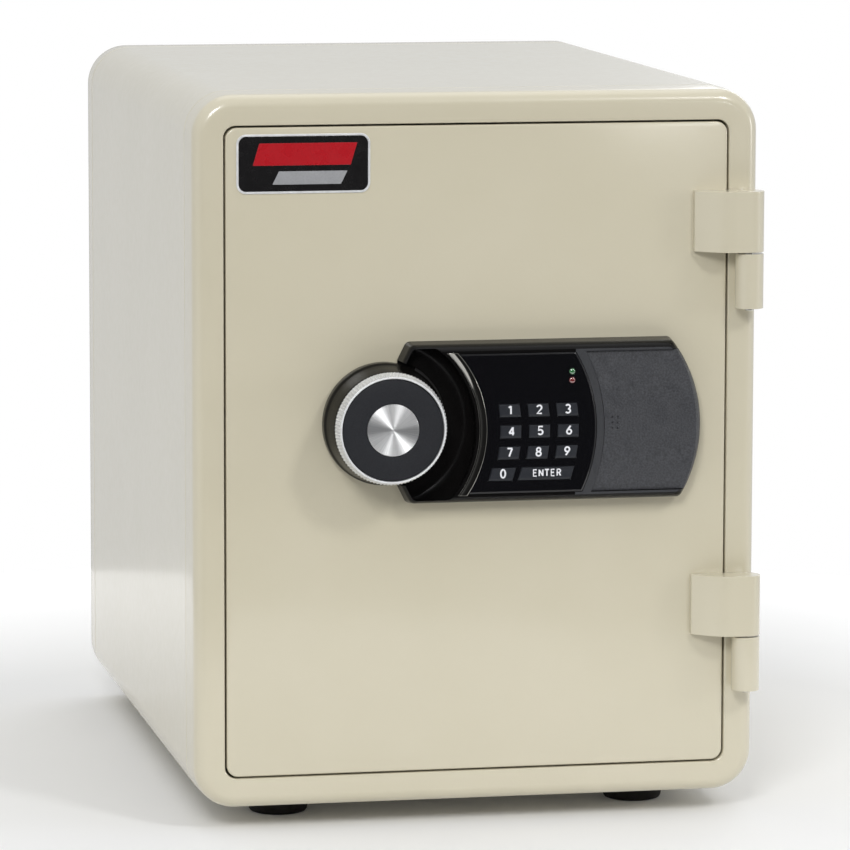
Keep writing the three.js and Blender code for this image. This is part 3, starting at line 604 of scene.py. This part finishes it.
# ---------------------------------------------------------------- hinges
def leaf_outline(door_edge):
    """The leaf seen from above: a stepped plate on the door that swells into the knuckle."""
    nose = HINGE_Y - HINGE_R
    edge_thick, run = 3.4, 24.0
    swell = [
        (LEAF_X + run * t, -edge_thick + (nose + 0.2 + edge_thick) * math.sin(math.pi / 2 * t))
        for t in (i / 20 for i in range(21))
    ]
    front = [*swell, (HINGE_X - 6, nose + 0.05)]
    return [
        (LEAF_X, 0.0),
        *front,
        *arc(HINGE_X, HINGE_Y, HINGE_R, -90, 90, 24),
        (door_edge, -2 * GAP),
        (door_edge, 0.0),
    ]


def hinges():
    door_edge = span("door_panel")[1].x - 0.1
    for which in ("upper", "lower"):
        lo, hi = span(f"hinge_leaf_{which}")
        leaf = prism(leaf_outline(door_edge), lo.z, hi.z, "z")
        piece(
            f"hinge_leaf_{which}_cast", leaf, "door", CREAM,
            [f"hinge_leaf_{which}"], 2.2, 35, 5,
        )
        lo, hi = span(f"hinge_barrel_{which}")
        left, right = 6.0, 2.2
        outline = [
            (HINGE_X - left, 0.0),
            *arc(
                HINGE_X, HINGE_Y, HINGE_R,
                180 - math.degrees(math.acos(left / HINGE_R)),
                360 + math.degrees(math.acos(right / HINGE_R)), 40,
            ),
            (HINGE_X + right, 0.0),
        ]
        piece(
            f"hinge_barrel_{which}_cast", prism(outline, lo.z, hi.z, "z"), "cabinet", CREAM,
            [f"hinge_barrel_{which}"], 1.8, 35, 4,
        )
        piece(
            f"hinge_pin_{which}_turned", refined(f"hinge_pin_{which}"), "cabinet", ROD_STEEL,
            [f"hinge_pin_{which}"], 0.5,
        )


# ---------------------------------------------------------------- door
def door():
    lo, hi = span("door_panel")
    w, h = hi.x - lo.x, hi.z - lo.z
    edge = DOOR_EDGE_ROUND
    profile = [
        (SKIN, SKIN), (SKIN, hi.y), (0.0, hi.y), (0.0, edge), *corner(edge, edge, edge, 180, 270),
    ]
    skin = framed(w, h, DOOR_R, profile, False)
    piece("door_panel_steel", skin, "door", CREAM, ["door_panel"])
    for node, slot, finish, bevel in (
        ("door_liner", "inner_coating", LINING, 1.2),
        ("door_insulation", "cast_fill", FILL, 0.0),
        ("mechanism_cover", "inner_coating", LINING, 0.6),
        ("solenoid_body", "bright_steel", STEEL, 0.8),
    ):
        piece(node + "_detail", refined(node), "door", finish, [node], bevel, 50)
    for number in range(1, 5):
        cover_screw(f"cover_screw_{number}")


def cover_screw(node):
    """A pan-head screw with a cross recess, facing the inside of the safe."""
    lo, hi = span(node)
    x, z = (lo.x + hi.x) / 2, (lo.z + hi.z) / 2
    r = (hi.x - lo.x) / 2
    seat = hi.y - 1.8
    profile = [
        (0, lo.y), (1.6, lo.y), (1.6, seat), (r - 0.15, seat), (r, seat + 0.2), (r - 0.2, seat + 0.9),
        (r - 0.9, seat + 1.5), (r - 1.9, hi.y), (0, hi.y),
    ]
    sides = circle_turns(40)
    body = loft([[(x + q * math.cos(t), y, z + q * math.sin(t)) for t in sides] for q, y in profile])
    deep = hi.y - 1.1
    slots = [
        block(x - 1.7, x + 1.7, deep, hi.y + 1, z - 0.32, z + 0.32),
        block(x - 0.32, x + 0.32, deep, hi.y + 1, z - 1.7, z + 1.7),
    ]
    piece(node + "_head", cut(body, *slots), "door", ROD_STEEL, [node])


def badge():
    """A plain generic plate: black ground, bright rim and two slanted bars, with no mark or lettering."""
    lo, hi = span("badge")
    cx, cz = (lo.x + hi.x) / 2, (lo.z + hi.z) / 2
    w, h = hi.x - lo.x, hi.z - lo.z
    bead = [(0.0, 0.0), (0.0, -0.5), (0.35, -0.8), (1.1, -0.8), (1.4, -0.5), (1.4, 0.0)]
    rim = framed(w, h, 6.0, bead, False, cx, cz)
    piece("badge_rim", rim, "door", ALUMINIUM, ["badge"], 0, 25)
    ground = prism(rounded_rect(w - 2.9, h - 2.9, 4.6, cx, cz), -0.55, -0.05)
    piece("badge_ground", ground, "door", BADGE_BLACK)

    def bar(x0, x1, z0, z1, lean=4.0):
        return prism([(x0, z0), (x1, z0), (x1 + lean, z1), (x0 + lean, z1)], -0.78, -0.3)

    upper = bar(cx - 31, cx + 29, cz - 1, cz + 12.5)
    lower = bar(cx - 19, cx + 23, cz - 12.5, cz - 4.5)
    piece("badge_red_bar", upper, "door", BADGE_RED, (), 0.2)
    piece("badge_grey_bar", lower, "door", BADGE_SILVER, (), 0.2)


# ---------------------------------------------------------------- lock housing
def housing_blank(shrink=0.0):
    """The block of the lock housing: steep sides that round over into its face."""
    top, shoulder, shoulder_grow = LOCK_H - shrink, 9.0, 3.9
    last, steps = math.radians(50), 6
    rows = [(-GAP + (LOCK_H if shrink else 0), LOCK_SLOPE - shrink)]
    for i in range(steps + 1):
        t = last * i / steps
        y = -shoulder - (top - shoulder) * math.sin(t) / math.sin(last)
        rows.append((y, shoulder_grow * (1 - (1 - math.cos(t)) / (1 - math.cos(last))) - shrink))
    return loft([[(x, y, z) for x, z in housing_outline(grow)] for y, grow in rows])


def cover_zone(grow):
    edge = between_arcs((COVER_CX, COVER_R - grow), (END_CX, END_R + LOCK_H), COVER_HALF + grow)
    return prism(edge, -LOCK_H - 1, LOCK_H)


def panel_outline(grow):
    left_grow = GAP if grow <= 0 else 0
    return between_arcs((CHROME_CX, CHROME_R + left_grow), (PANEL_CX, PANEL_R + grow), PANEL_HALF + grow)


def dish():
    """The bowl round the knob that is scooped out of the housing, inside a thin rim."""
    flat, start, run, rise, steps = 2.8, 2.85, 17, 15, 14
    curve = [(DISH_R, flat), (DISH_R + 6, flat)]
    for i in range(steps + 1):
        t = i / steps
        curve.append((DISH_R + 8 + run * t, start + rise * t**1.9))
    bowl = turned([(0, 1), (DISH_R, 1), *curve, (0, LOCK_H + 2)], steps=160)
    half = LOCK_FACE + LOCK_SLOPE - 3.0
    r = CHROME_R - CHROME_W - 1.4
    high, top = arc_end(CHROME_CX, r, half, 6.0, 1)
    low, bottom = arc_end(CHROME_CX, r, half, 6.0, -1)
    right = arc(CHROME_CX, LOCK_Z - ARC_DROP, r, -low, high, ARC_STEPS)
    limit = bottom[:0:-1] + right + top[1:] + lock_left(LOCK_LEFT + 2.0, half, 4.0)
    opening = prism(limit, -LOCK_H - 9, 0.5)
    well = turned([(0, 1), (DISH_R, 1), (DISH_R, LOCK_H + 4), (0, LOCK_H + 4)], steps=160)
    return [combined(bowl, [opening], "INTERSECT"), well]


def base_zone(grow):
    """The room that the plate behind the housing and its rosette under the knob take."""
    half = LOCK_FACE + LOCK_SLOPE - BASE_INSET + grow
    left, slant = LOCK_LEFT + BASE_INSET, 6
    high, low = LOCK_Z + half, LOCK_Z - half
    plate = [
        *upright_arc(END_CX, END_R - BASE_END + grow, half),
        (left + slant, high), (left, high - 2 * slant), (left, low + 2 * slant), (left + slant, low),
    ]
    back, front, r = -0.5, BASE_THICK + grow, SKIRT_R - 3 + grow
    rosette = turned([(0, back), (r, back), (r, front), (0, front)])
    return [prism(plate, -front, -back), rosette]


def fascia():
    chrome_slot = between_arcs(
        (CHROME_CX, CHROME_R - CHROME_W), (CHROME_CX, CHROME_R + GAP), PANEL_HALF + 0.9 + GAP
    )
    inside = between_arcs((CHROME_CX, CHROME_R + 4), (PANEL_CX, PANEL_R - 3), PANEL_HALF - 3)
    solid = cut(
        housing_blank(),
        cover_zone(GAP),
        *dish(),
        prism(chrome_slot, -LOCK_H - 3, 2 - LOCK_H),
        prism(panel_outline(GAP), -LOCK_H - 3, PANEL_THICK - LOCK_H),
        prism(inside, -LOCK_H - 3, LOCK_H),
        *base_zone(GAP),
    )
    division = PANEL_CX + math.sqrt(PANEL_R**2 - (PANEL_HALF + ARC_DROP) ** 2)
    everything = [*solid.verts, *solid.edges, *solid.faces]
    bmesh.ops.bisect_plane(solid, geom=everything, plane_co=(division, 0, 0), plane_no=(1, 0, 0))
    for face in solid.faces:
        beside_cover = face.calc_center_median().x > division and face.normal.y < -0.98
        face.material_index = 1 if beside_cover else 0
    finishes = [GLOSS_BLACK, STRIP_GREY]
    piece("lock_fascia_shell", solid, "door", finishes, ["lock_fascia"], 0.5, 30, 3)
    base = refined("lock_base")
    piece("lock_base_plate", base, "door", SATIN_BLACK, ["lock_base"], 0.3, 40)


def chrome_strip():
    """The bright crescent: its face leans in towards the knob and rounds over at its outer edge."""
    half = PANEL_HALF + 0.9
    left = upright_arc(CHROME_CX, CHROME_R - CHROME_W + GAP, half, 64)
    right = upright_arc(CHROME_CX, CHROME_R, half, 64)
    back = -LOCK_H + 2 - GAP
    low, high = -LOCK_H - 0.1, -LOCK_H - CHROME_PROUD
    bend, steps = 1.45, 8
    face = [(i / steps, math.sin(bend * i / steps) / math.sin(bend)) for i in range(steps + 1)]
    crown = [
        (0.0, back), (0.0, low + 0.25), (0.03, low),
        *((0.1 + 0.76 * across, low + (high - low) * rise) for across, rise in face),
        (0.93, high + 0.08), (0.98, high + 0.3), (1.0, high + 0.6), (1.0, back),
    ]
    rows = []
    for (x0, z0), (x1, z1) in zip(left, right):
        rows.append([(x0 + (x1 - x0) * t, y, z0 + (z1 - z0) * t) for t, y in crown])
    piece("chrome_strip_crescent", loft(rows), "door", CHROME, ["chrome_strip"], 0.25, 50)


def keypad_panel():
    windows = [key_window(name) for name in KEY_LABELS]
    lamp_holes = []
    for node in ("led_green", "led_red"):
        lo, hi = span(node)
        x, z = (lo.x + hi.x) / 2, (lo.z + hi.z) / 2
        lamp_holes.append(prism(arc(x, z, LED_R + 0.2, 0, 352.5, 47), -30, 0))
    face = -LOCK_H - PANEL_PROUD
    rows = [(-1.1, face), (0, face + 0.5), (0, PANEL_THICK - LOCK_H - GAP)]
    plate = loft([[(x, y, z) for x, z in panel_outline(grow)] for grow, y in rows])
    piece(
        "keypad_panel_gloss", cut(plate, *windows, *lamp_holes), "door", PANEL_BLACK,
        ["keypad_panel"], 0.15, 18, 2,
    )


KEY_LABELS = {f"key_{digit}": str(digit) for digit in (1, 2, 3, 4, 5, 6, 7, 8, 9, 0)} | {"key_enter": "ENTER"}


def key_frame(node):
    """A key's middle x, half width, middle z and half height, without the lean of its sides."""
    lo, hi = span(node)
    z = (lo.z + hi.z) / 2
    half = (hi.z - lo.z) / 2
    lean = key_lean(lo.z), key_lean(hi.z)
    width = (hi.x - lo.x) - abs(lean[1] - lean[0])
    return (lo.x + hi.x) / 2 - (lean[0] + lean[1]) / 2, width / 2, z, half


def key_lean(z):
    """How far the keys' sides lean back at that height."""
    return math.sqrt(KEY_LEAN_R**2 - (z - LOCK_Z + ARC_DROP) ** 2) - KEY_LEAN_R


def key_outline(node, grow, trim_left=0.0, trim_low=0.0):
    x, side, z, half = key_frame(node)
    low, high = z - half - grow + trim_low, z + half + grow
    return [
        (x - side - grow + trim_left + key_lean(low), low),
        (x + side + grow + key_lean(low), low),
        (x + side + grow + key_lean(high), high),
        (x - side - grow + trim_left + key_lean(high), high),
    ]


def key_window(node):
    """The opening that a key passes through in the gloss panel."""
    return prism(key_outline(node, 0.25), -30, 0)


def key(node, label):
    """A key with a bevelled front, a sloping lower skirt and a printed label."""
    lo, hi = span(node)
    front = lo.y
    face = key_outline(node, -0.25, 0.35, 1.1)
    shoulder = key_outline(node, 0.0)
    rows = [
        [(x, front, z) for x, z in face],
        [(x, front + 0.75, z) for x, z in shoulder],
        [(x, hi.y, z) for x, z in shoulder],
    ]
    piece(
        node + "_cap", loft(rows), "button_" + node.split("_")[1], KEY_GREY, [node], 0.18, 20, 2,
    )
    printed(node, label, front - 0.01)


def oval(cx, cz, rx, rz, start, end, steps=16):
    turns = [math.radians(start + (end - start) * i / steps) for i in range(steps + 1)]
    return [(cx + rx * math.cos(t), cz + rz * math.sin(t)) for t in turns]


# Plain block characters as strokes in a box one high.
STROKES = {
    "0": [oval(0.33, 0.5, 0.26, 0.46, 0, 360)],
    "1": [[(0.12, 0.76), (0.36, 0.94)], [(0.38, 0.96), (0.38, 0.04)]],
    "2": [[*oval(0.33, 0.7, 0.26, 0.26, 165, -35), (0.08, 0.04), (0.62, 0.04)]],
    "3": [oval(0.32, 0.72, 0.24, 0.24, 150, -90), oval(0.32, 0.27, 0.27, 0.23, 90, -150)],
    "4": [[(0.48, 0.04), (0.48, 0.95)], [(0.46, 0.93), (0.06, 0.28)], [(0.06, 0.28), (0.64, 0.28)]],
    "5": [[(0.6, 0.95), (0.16, 0.95), (0.12, 0.52), *oval(0.33, 0.32, 0.27, 0.27, 125, -150)]],
    "6": [oval(0.34, 0.3, 0.26, 0.26, 0, 360), [(0.52, 0.96), (0.3, 0.7), (0.11, 0.42)]],
    "7": [[(0.06, 0.95), (0.62, 0.95)], [(0.6, 0.93), (0.26, 0.04)]],
    "8": [oval(0.34, 0.73, 0.22, 0.22, 0, 360), oval(0.34, 0.27, 0.27, 0.24, 0, 360)],
    "9": [oval(0.34, 0.69, 0.26, 0.26, 0, 360), [(0.57, 0.58), (0.38, 0.3), (0.16, 0.04)]],
    "E": [[(0.56, 0.95), (0.1, 0.95), (0.1, 0.04), (0.56, 0.04)], [(0.1, 0.52), (0.5, 0.52)]],
    "N": [[(0.08, 0.04), (0.08, 0.96)], [(0.1, 0.9), (0.58, 0.1)], [(0.6, 0.04), (0.6, 0.96)]],
    "T": [[(0.04, 0.95), (0.64, 0.95)], [(0.34, 0.95), (0.34, 0.04)]],
    "R": [[(0.1, 0.04), (0.1, 0.95), (0.34, 0.95), *oval(0.36, 0.72, 0.22, 0.23, 90, -90, 8), (0.1, 0.49)],
          [(0.34, 0.49), (0.6, 0.04)]],
}


def printed(node, label, y):
    """A label in flat strokes on the key's face."""
    x, _, z, _ = key_frame(node)
    height = DIGIT_H if len(label) == 1 else WORD_H
    advance = 0.86 * height
    weight = 0.2 * height
    curve = bpy.data.curves.new(node + "_print", "CURVE")
    curve.dimensions = "3D"
    curve.bevel_depth = weight / 2 * MM
    curve.bevel_resolution = 2
    curve.use_fill_caps = True
    for place, character in enumerate(label):
        left = (place - (len(label) - 1) / 2) * advance - 0.34 * height
        for stroke in STROKES[character]:
            closed = len(stroke) > 2 and math.dist(stroke[0], stroke[-1]) < 1e-6
            points = stroke[:-1] if closed else stroke
            spline = curve.splines.new("POLY")
            spline.use_cyclic_u = closed
            spline.points.add(len(points) - 1)
            for point, (u, v) in zip(spline.points, points):
                point.co = ((left + u * height) * MM, 0.0, (v - 0.5) * height * MM, 1.0)
    holder = bpy.data.objects.new(node + "_strokes", curve)
    bpy.context.scene.collection.objects.link(holder)
    mesh = bpy.data.meshes.new_from_object(holder.evaluated_get(bpy.context.evaluated_depsgraph_get()))
    bpy.data.objects.remove(holder)
    flat = 0.06
    mesh.transform(Matrix.Diagonal((1.0, flat, 1.0, 1.0)))
    mesh.transform(Matrix.Translation(ORIGIN + Vector((x + key_lean(z) + 0.3, y, z + 0.5)) * MM))
    mesh.name = node + "_print"
    made = bpy.data.objects.new(node + "_print", mesh)
    bpy.context.scene.collection.objects.link(made)
    mesh.materials.clear()
    mesh.materials.append(PRINT_WHITE)
    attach(made, "button_" + node.split("_")[1])


def lamps():
    for node, slot, finish in (("led_green", "green_lens", GREEN_LENS), ("led_red", "red_lens", RED_LENS)):
        lo, hi = span(node)
        x, z = (lo.x + hi.x) / 2, (lo.z + hi.z) / 2
        tip, swell = lo.y - 0.3, 0.9
        turns = [math.radians(a) for a in range(90, -1, -10)]
        dome = [(LED_R * math.cos(t), tip + swell * (1 - math.sin(t))) for t in turns]
        sides = circle_turns(40)
        rows = [
            [(x + r * math.cos(t), y, z + r * math.sin(t)) for t in sides]
            for r, y in [*dome, (LED_R, hi.y), (0.0, hi.y)]
        ]
        piece(node + "_dome", loft(rows), "door", finish, [node])


def battery_cover():
    rise = [LOCK_Z + COVER_HALF * 1.1 * (i / 14 - 1) for i in range(29)]
    crown = [(-LOCK_H + COVER_CROWN * ((z - LOCK_Z) / COVER_HALF) ** 2, z) for z in rise]
    crowned = prism([*crown, (9.0, rise[-1]), (9.0, rise[0])], 0.0, 200.0, "x")
    outer = combined(housing_blank(), [cover_zone(0), crowned], "INTERSECT")
    inner = combined(housing_blank(SKIN), [cover_zone(-SKIN)], "INTERSECT")
    reach = COVER_HALF - 1
    over_base = block(0, 200, -1.9, LOCK_H, LOCK_Z - reach, LOCK_Z + reach)
    left = COVER_CX + COVER_R
    open_side = block(0, left + SKIN, SKIN - LOCK_H, LOCK_H, LOCK_Z - reach, LOCK_Z + reach)
    holes = [
        prism(
            arc(VENT_X + column * VENT_PITCH[0], VENT_Z + row * VENT_PITCH[1], VENT_R, 0, 337.5, 15),
            -LOCK_H - 1, -LOCK_H + 0.7,
        )
        for column in range(2)
        for row in range(3)
    ]
    solid = cut(outer, inner, over_base, open_side, *holes)
    piece(
        "battery_cover_shell", solid, "battery_door", COVER_GREY,
        ["battery_cover"], 0.35, 30, 2,
    )


def lock_inside():
    board = refined("circuit_board")
    piece("circuit_board_detail", board, "door", BOARD, ["circuit_board"], 0.2)
    for number in range(1, 5):
        node = f"battery_{number}"
        lo, hi = span(node)
        y, z, r = (lo.y + hi.y) / 2, (lo.z + hi.z) / 2, (hi.z - lo.z) / 2
        profile = [(0, lo.x), (r - 0.6, lo.x), (r, lo.x + 0.6), (r, hi.x - 1.8), (r - 0.6, hi.x - 1.2),
                   (1.9, hi.x - 1.2), (1.8, hi.x), (0, hi.x)]
        sides = circle_turns(40)
        rows = [[(x, y + q * math.cos(t), z + q * math.sin(t)) for t in sides] for q, x in profile]
        piece(node + "_cell", loft(rows), "door", JACKET, [node])


# ---------------------------------------------------------------- knob
def knob_piece(name, solid, finish, node, smooth):
    piece(name, solid, "knob", finish, [node], 0, smooth, centre=KNOB_AXIS)


def knob():
    """Profiles are (radius, height out of the door), from the back or the middle outwards."""
    skirt = [
        (0, KNOB_STEP), (32.8, KNOB_STEP), (33.3, KNOB_STEP - 0.15), (33.6, KNOB_STEP - 0.5),
        (34.3, 25), (35.4, 18), (36.2, 12.6), (36.5, 11.4), (36.9, 10.6), (37.3, 9.8), (SKIRT_R, 8.6),
        (SKIRT_R, 3.0), (SKIRT_R - 0.25, 2.4), (SKIRT_R - 0.8, 2.2), (SKIRT_R - 2.2, 2.2),
        (31, 25), (9, 25), (9, 4), (5.3, 4), (5.3, 24), (0, 24),
    ]
    knob_piece("knob_skirt_moulding", turned(skirt, steps=160), KNOB_BLACK, "knob_skirt", 40)
    knob_piece("knob_ring_knurled", knurled_ring(), ALUMINIUM, "knob_ring", 50)

    base = KNOB_STEP + GAP
    face = [
        (0, base), (FACE_R, base), (FACE_R, KNOB_FRONT - 1.5), (FACE_R - 0.3, KNOB_FRONT - 1.15),
        (FACE_R - 0.9, KNOB_FRONT - 0.95), (24, KNOB_FRONT - 0.75), (DISC_R + 0.8, KNOB_FRONT - 0.6),
        (DISC_R + 0.35, KNOB_FRONT - 0.75), (DISC_R + GAP, KNOB_FRONT - 1.1),
        (DISC_R + GAP, KNOB_FRONT - 2.6), (0, KNOB_FRONT - 2.6),
    ]
    knob_piece("knob_face_insert", turned(face), INSERT_GREY, "knob_face", 40)

    top = KNOB_FRONT - 0.3
    disc = [
        (0, KNOB_FRONT - 2.3), (DISC_R, KNOB_FRONT - 2.3), (DISC_R, KNOB_FRONT - 0.75),
        (DISC_R - 0.12, KNOB_FRONT - 0.45), (DISC_R - 0.35, top), (DISC_R - 0.5, top),
        (DISC_R / 2, top), (0, top),
    ]
    knob_piece("knob_disc_spun", turned(disc, steps=160), DISC_METAL, "knob_disc", 25)
    piece("spindle_turned", refined("spindle"), "knob", ROD_STEEL, ["spindle"], 0.4)


def knurled_ring():
    """The bright ring: its front is smooth and its side is cut with fine ridges, by each point's share."""
    back = KNOB_STEP + GAP
    profile = [
        (FACE_R + GAP, back, 0), (RING_R - 0.5, back, 0), (RING_R, back + 0.5, 1),
        (RING_R - 0.1, back + 1.5, 1), (RING_FRONT + 0.15, KNOB_FRONT - 1.0, 1),
        (RING_FRONT - 0.05, KNOB_FRONT - 0.45, 0.2), (RING_FRONT - 0.35, KNOB_FRONT - 0.1, 0),
        (RING_FRONT - 0.6, KNOB_FRONT, 0), (FACE_R + 0.7, KNOB_FRONT, 0),
        (FACE_R + 0.4, KNOB_FRONT - 0.15, 0), (FACE_R + GAP, KNOB_FRONT - 0.6, 0),
    ]
    per_ridge = 4
    steps = RIDGES * per_ridge
    rows = []
    for r, height, share in profile:
        row = []
        for i in range(steps):
            t = 2 * math.pi * i / steps
            dent = RIDGE_DEPTH * share * (0.5 - 0.5 * math.cos(2 * math.pi * i / per_ridge))
            row.append((KNOB_X + (r - dent) * math.cos(t), -height, KNOB_Z + (r - dent) * math.sin(t)))
        rows.append(row)
    return loft(rows, True)


# ---------------------------------------------------------------- boltwork
def boltwork():
    for node, body, finish in (
        ("bolt_carriage", "boltwork", STEEL),
        ("dead_bolt_upper", "boltwork", ROD_STEEL),
        ("dead_bolt_lower", "boltwork", ROD_STEEL),
        ("latch_plunger", "latch", ROD_STEEL),
    ):
        piece(node + "_detail", refined(node), body, finish, [node], 0.4)


# ---------------------------------------------------------------- studio
def floor():
    mesh = bpy.data.meshes.new("floor")
    bm = bmesh.new()
    bmesh.ops.create_circle(bm, cap_ends=True, segments=96, radius=FLOOR_R)
    bm.to_mesh(mesh)
    bm.free()
    made = bpy.data.objects.new("floor", mesh)
    bpy.context.scene.collection.objects.link(made)
    s = Surface("pale_floor", (0.86, 0.86, 0.86, 1), 0.9, Specular_IOR_Level=0.1)
    s.tinted(s.noise(4, 2), (0.85, 0.85, 0.85, 1), (0.87, 0.87, 0.87, 1))
    # The floor glows with painted light: faint near the safe, rising towards its edge so that the edge fades
    # into the white backdrop
    s.shader.inputs["Emission Color"].default_value = (1, 1, 1, 1)
    away = s.tree.nodes.new("ShaderNodeVectorMath")
    away.operation = "LENGTH"
    s.feed(away.inputs[0], s.coordinates)
    s.feed(s.shader.inputs["Emission Strength"], s.ranged(away.outputs["Value"], 0.02, 0.32, 0.38, 0.77))
    mesh.materials.append(s.material)


def world():
    """A pale studio that is darker straight in front of the safe."""
    made = bpy.data.worlds.new("studio")
    bpy.context.scene.world = made
    made.use_nodes = True
    tree = made.node_tree
    tree.nodes.clear()
    add, link = tree.nodes.new, tree.links.new
    direction = add("ShaderNodeTexCoord")
    facing = add("ShaderNodeVectorMath")
    facing.operation = "DOT_PRODUCT"
    facing.inputs[1].default_value = Vector((0.12, -0.98, -0.1)).normalized()
    link(direction.outputs["Generated"], facing.inputs[0])
    dark = add("ShaderNodeMapRange")
    dark.interpolation_type = "SMOOTHSTEP"
    for socket, number in zip(("From Min", "From Max", "To Min", "To Max"), (0.42, 0.86, 1.0, 0.04)):
        dark.inputs[socket].default_value = number
    link(facing.outputs["Value"], dark.inputs["Value"])
    studio = add("ShaderNodeBackground")
    studio.inputs["Color"].default_value = (0.98, 0.99, 1.0, 1)
    scaled = add("ShaderNodeMath")
    scaled.operation = "MULTIPLY"
    scaled.inputs[1].default_value = 0.7
    link(dark.outputs["Result"], scaled.inputs[0])
    link(scaled.outputs[0], studio.inputs["Strength"])
    backdrop = add("ShaderNodeBackground")
    backdrop.inputs["Color"].default_value = (1, 1, 1, 1)
    path = add("ShaderNodeLightPath")
    mix = add("ShaderNodeMixShader")
    link(path.outputs["Is Camera Ray"], mix.inputs[0])
    link(studio.outputs[0], mix.inputs[1])
    link(backdrop.outputs[0], mix.inputs[2])
    out = add("ShaderNodeOutputWorld")
    link(mix.outputs[0], out.inputs[0])


def lamp(name, at, aim, width, height, power):
    data = bpy.data.lights.new(name, "AREA")
    data.shape = "RECTANGLE"
    data.size, data.size_y = width, height
    data.energy = power
    made = bpy.data.objects.new(name, data)
    bpy.context.scene.collection.objects.link(made)
    made.location = at
    made.rotation_euler = (Vector(aim) - Vector(at)).to_track_quat("-Z", "Y").to_euler()


def camera():
    data = bpy.data.cameras.new("camera")
    data.lens = CAMERA_LENS
    data.sensor_width = 36.0
    made = bpy.data.objects.new("camera", data)
    bpy.context.scene.collection.objects.link(made)
    made.location = CAMERA_AT
    made.rotation_euler = [math.radians(a) for a in CAMERA_TURN]
    bpy.context.scene.camera = made


def studio():
    scene = bpy.context.scene
    scene.view_settings.view_transform = "Standard"
    world()
    floor()
    middle = (0, 0, 0.25)
    lamp("key", (-0.95, -2.8, 1.8), middle, 0.8, 0.8, 40)
    lamp("glint", (1.0, -2.0, 1.85), middle, 0.35, 0.35, 14)
    lamp("sheen", (0.79, -2.3, 0.54), middle, 0.15, 0.15, 0.8)
    lamp("rim", (2.15, -1.1, 0.53), middle, 0.25, 0.5, 5)
    lamp("top", (0.2, 0.6, 2.6), middle, 2.0, 2.0, 9)
    lamp("rear", (1.6, 2.6, 1.5), middle, 1.6, 1.2, 8)


cabinet_shell()
for place in ("front_left", "front_right", "rear_left", "rear_right"):
    foot("foot_" + place)
cabinet_inside()
hinges()
door()
badge()
fascia()
chrome_strip()
keypad_panel()
for key_node, key_label in KEY_LABELS.items():
    key(key_node, key_label)
lamps()
battery_cover()
lock_inside()
knob()
boltwork()
camera()
studio()
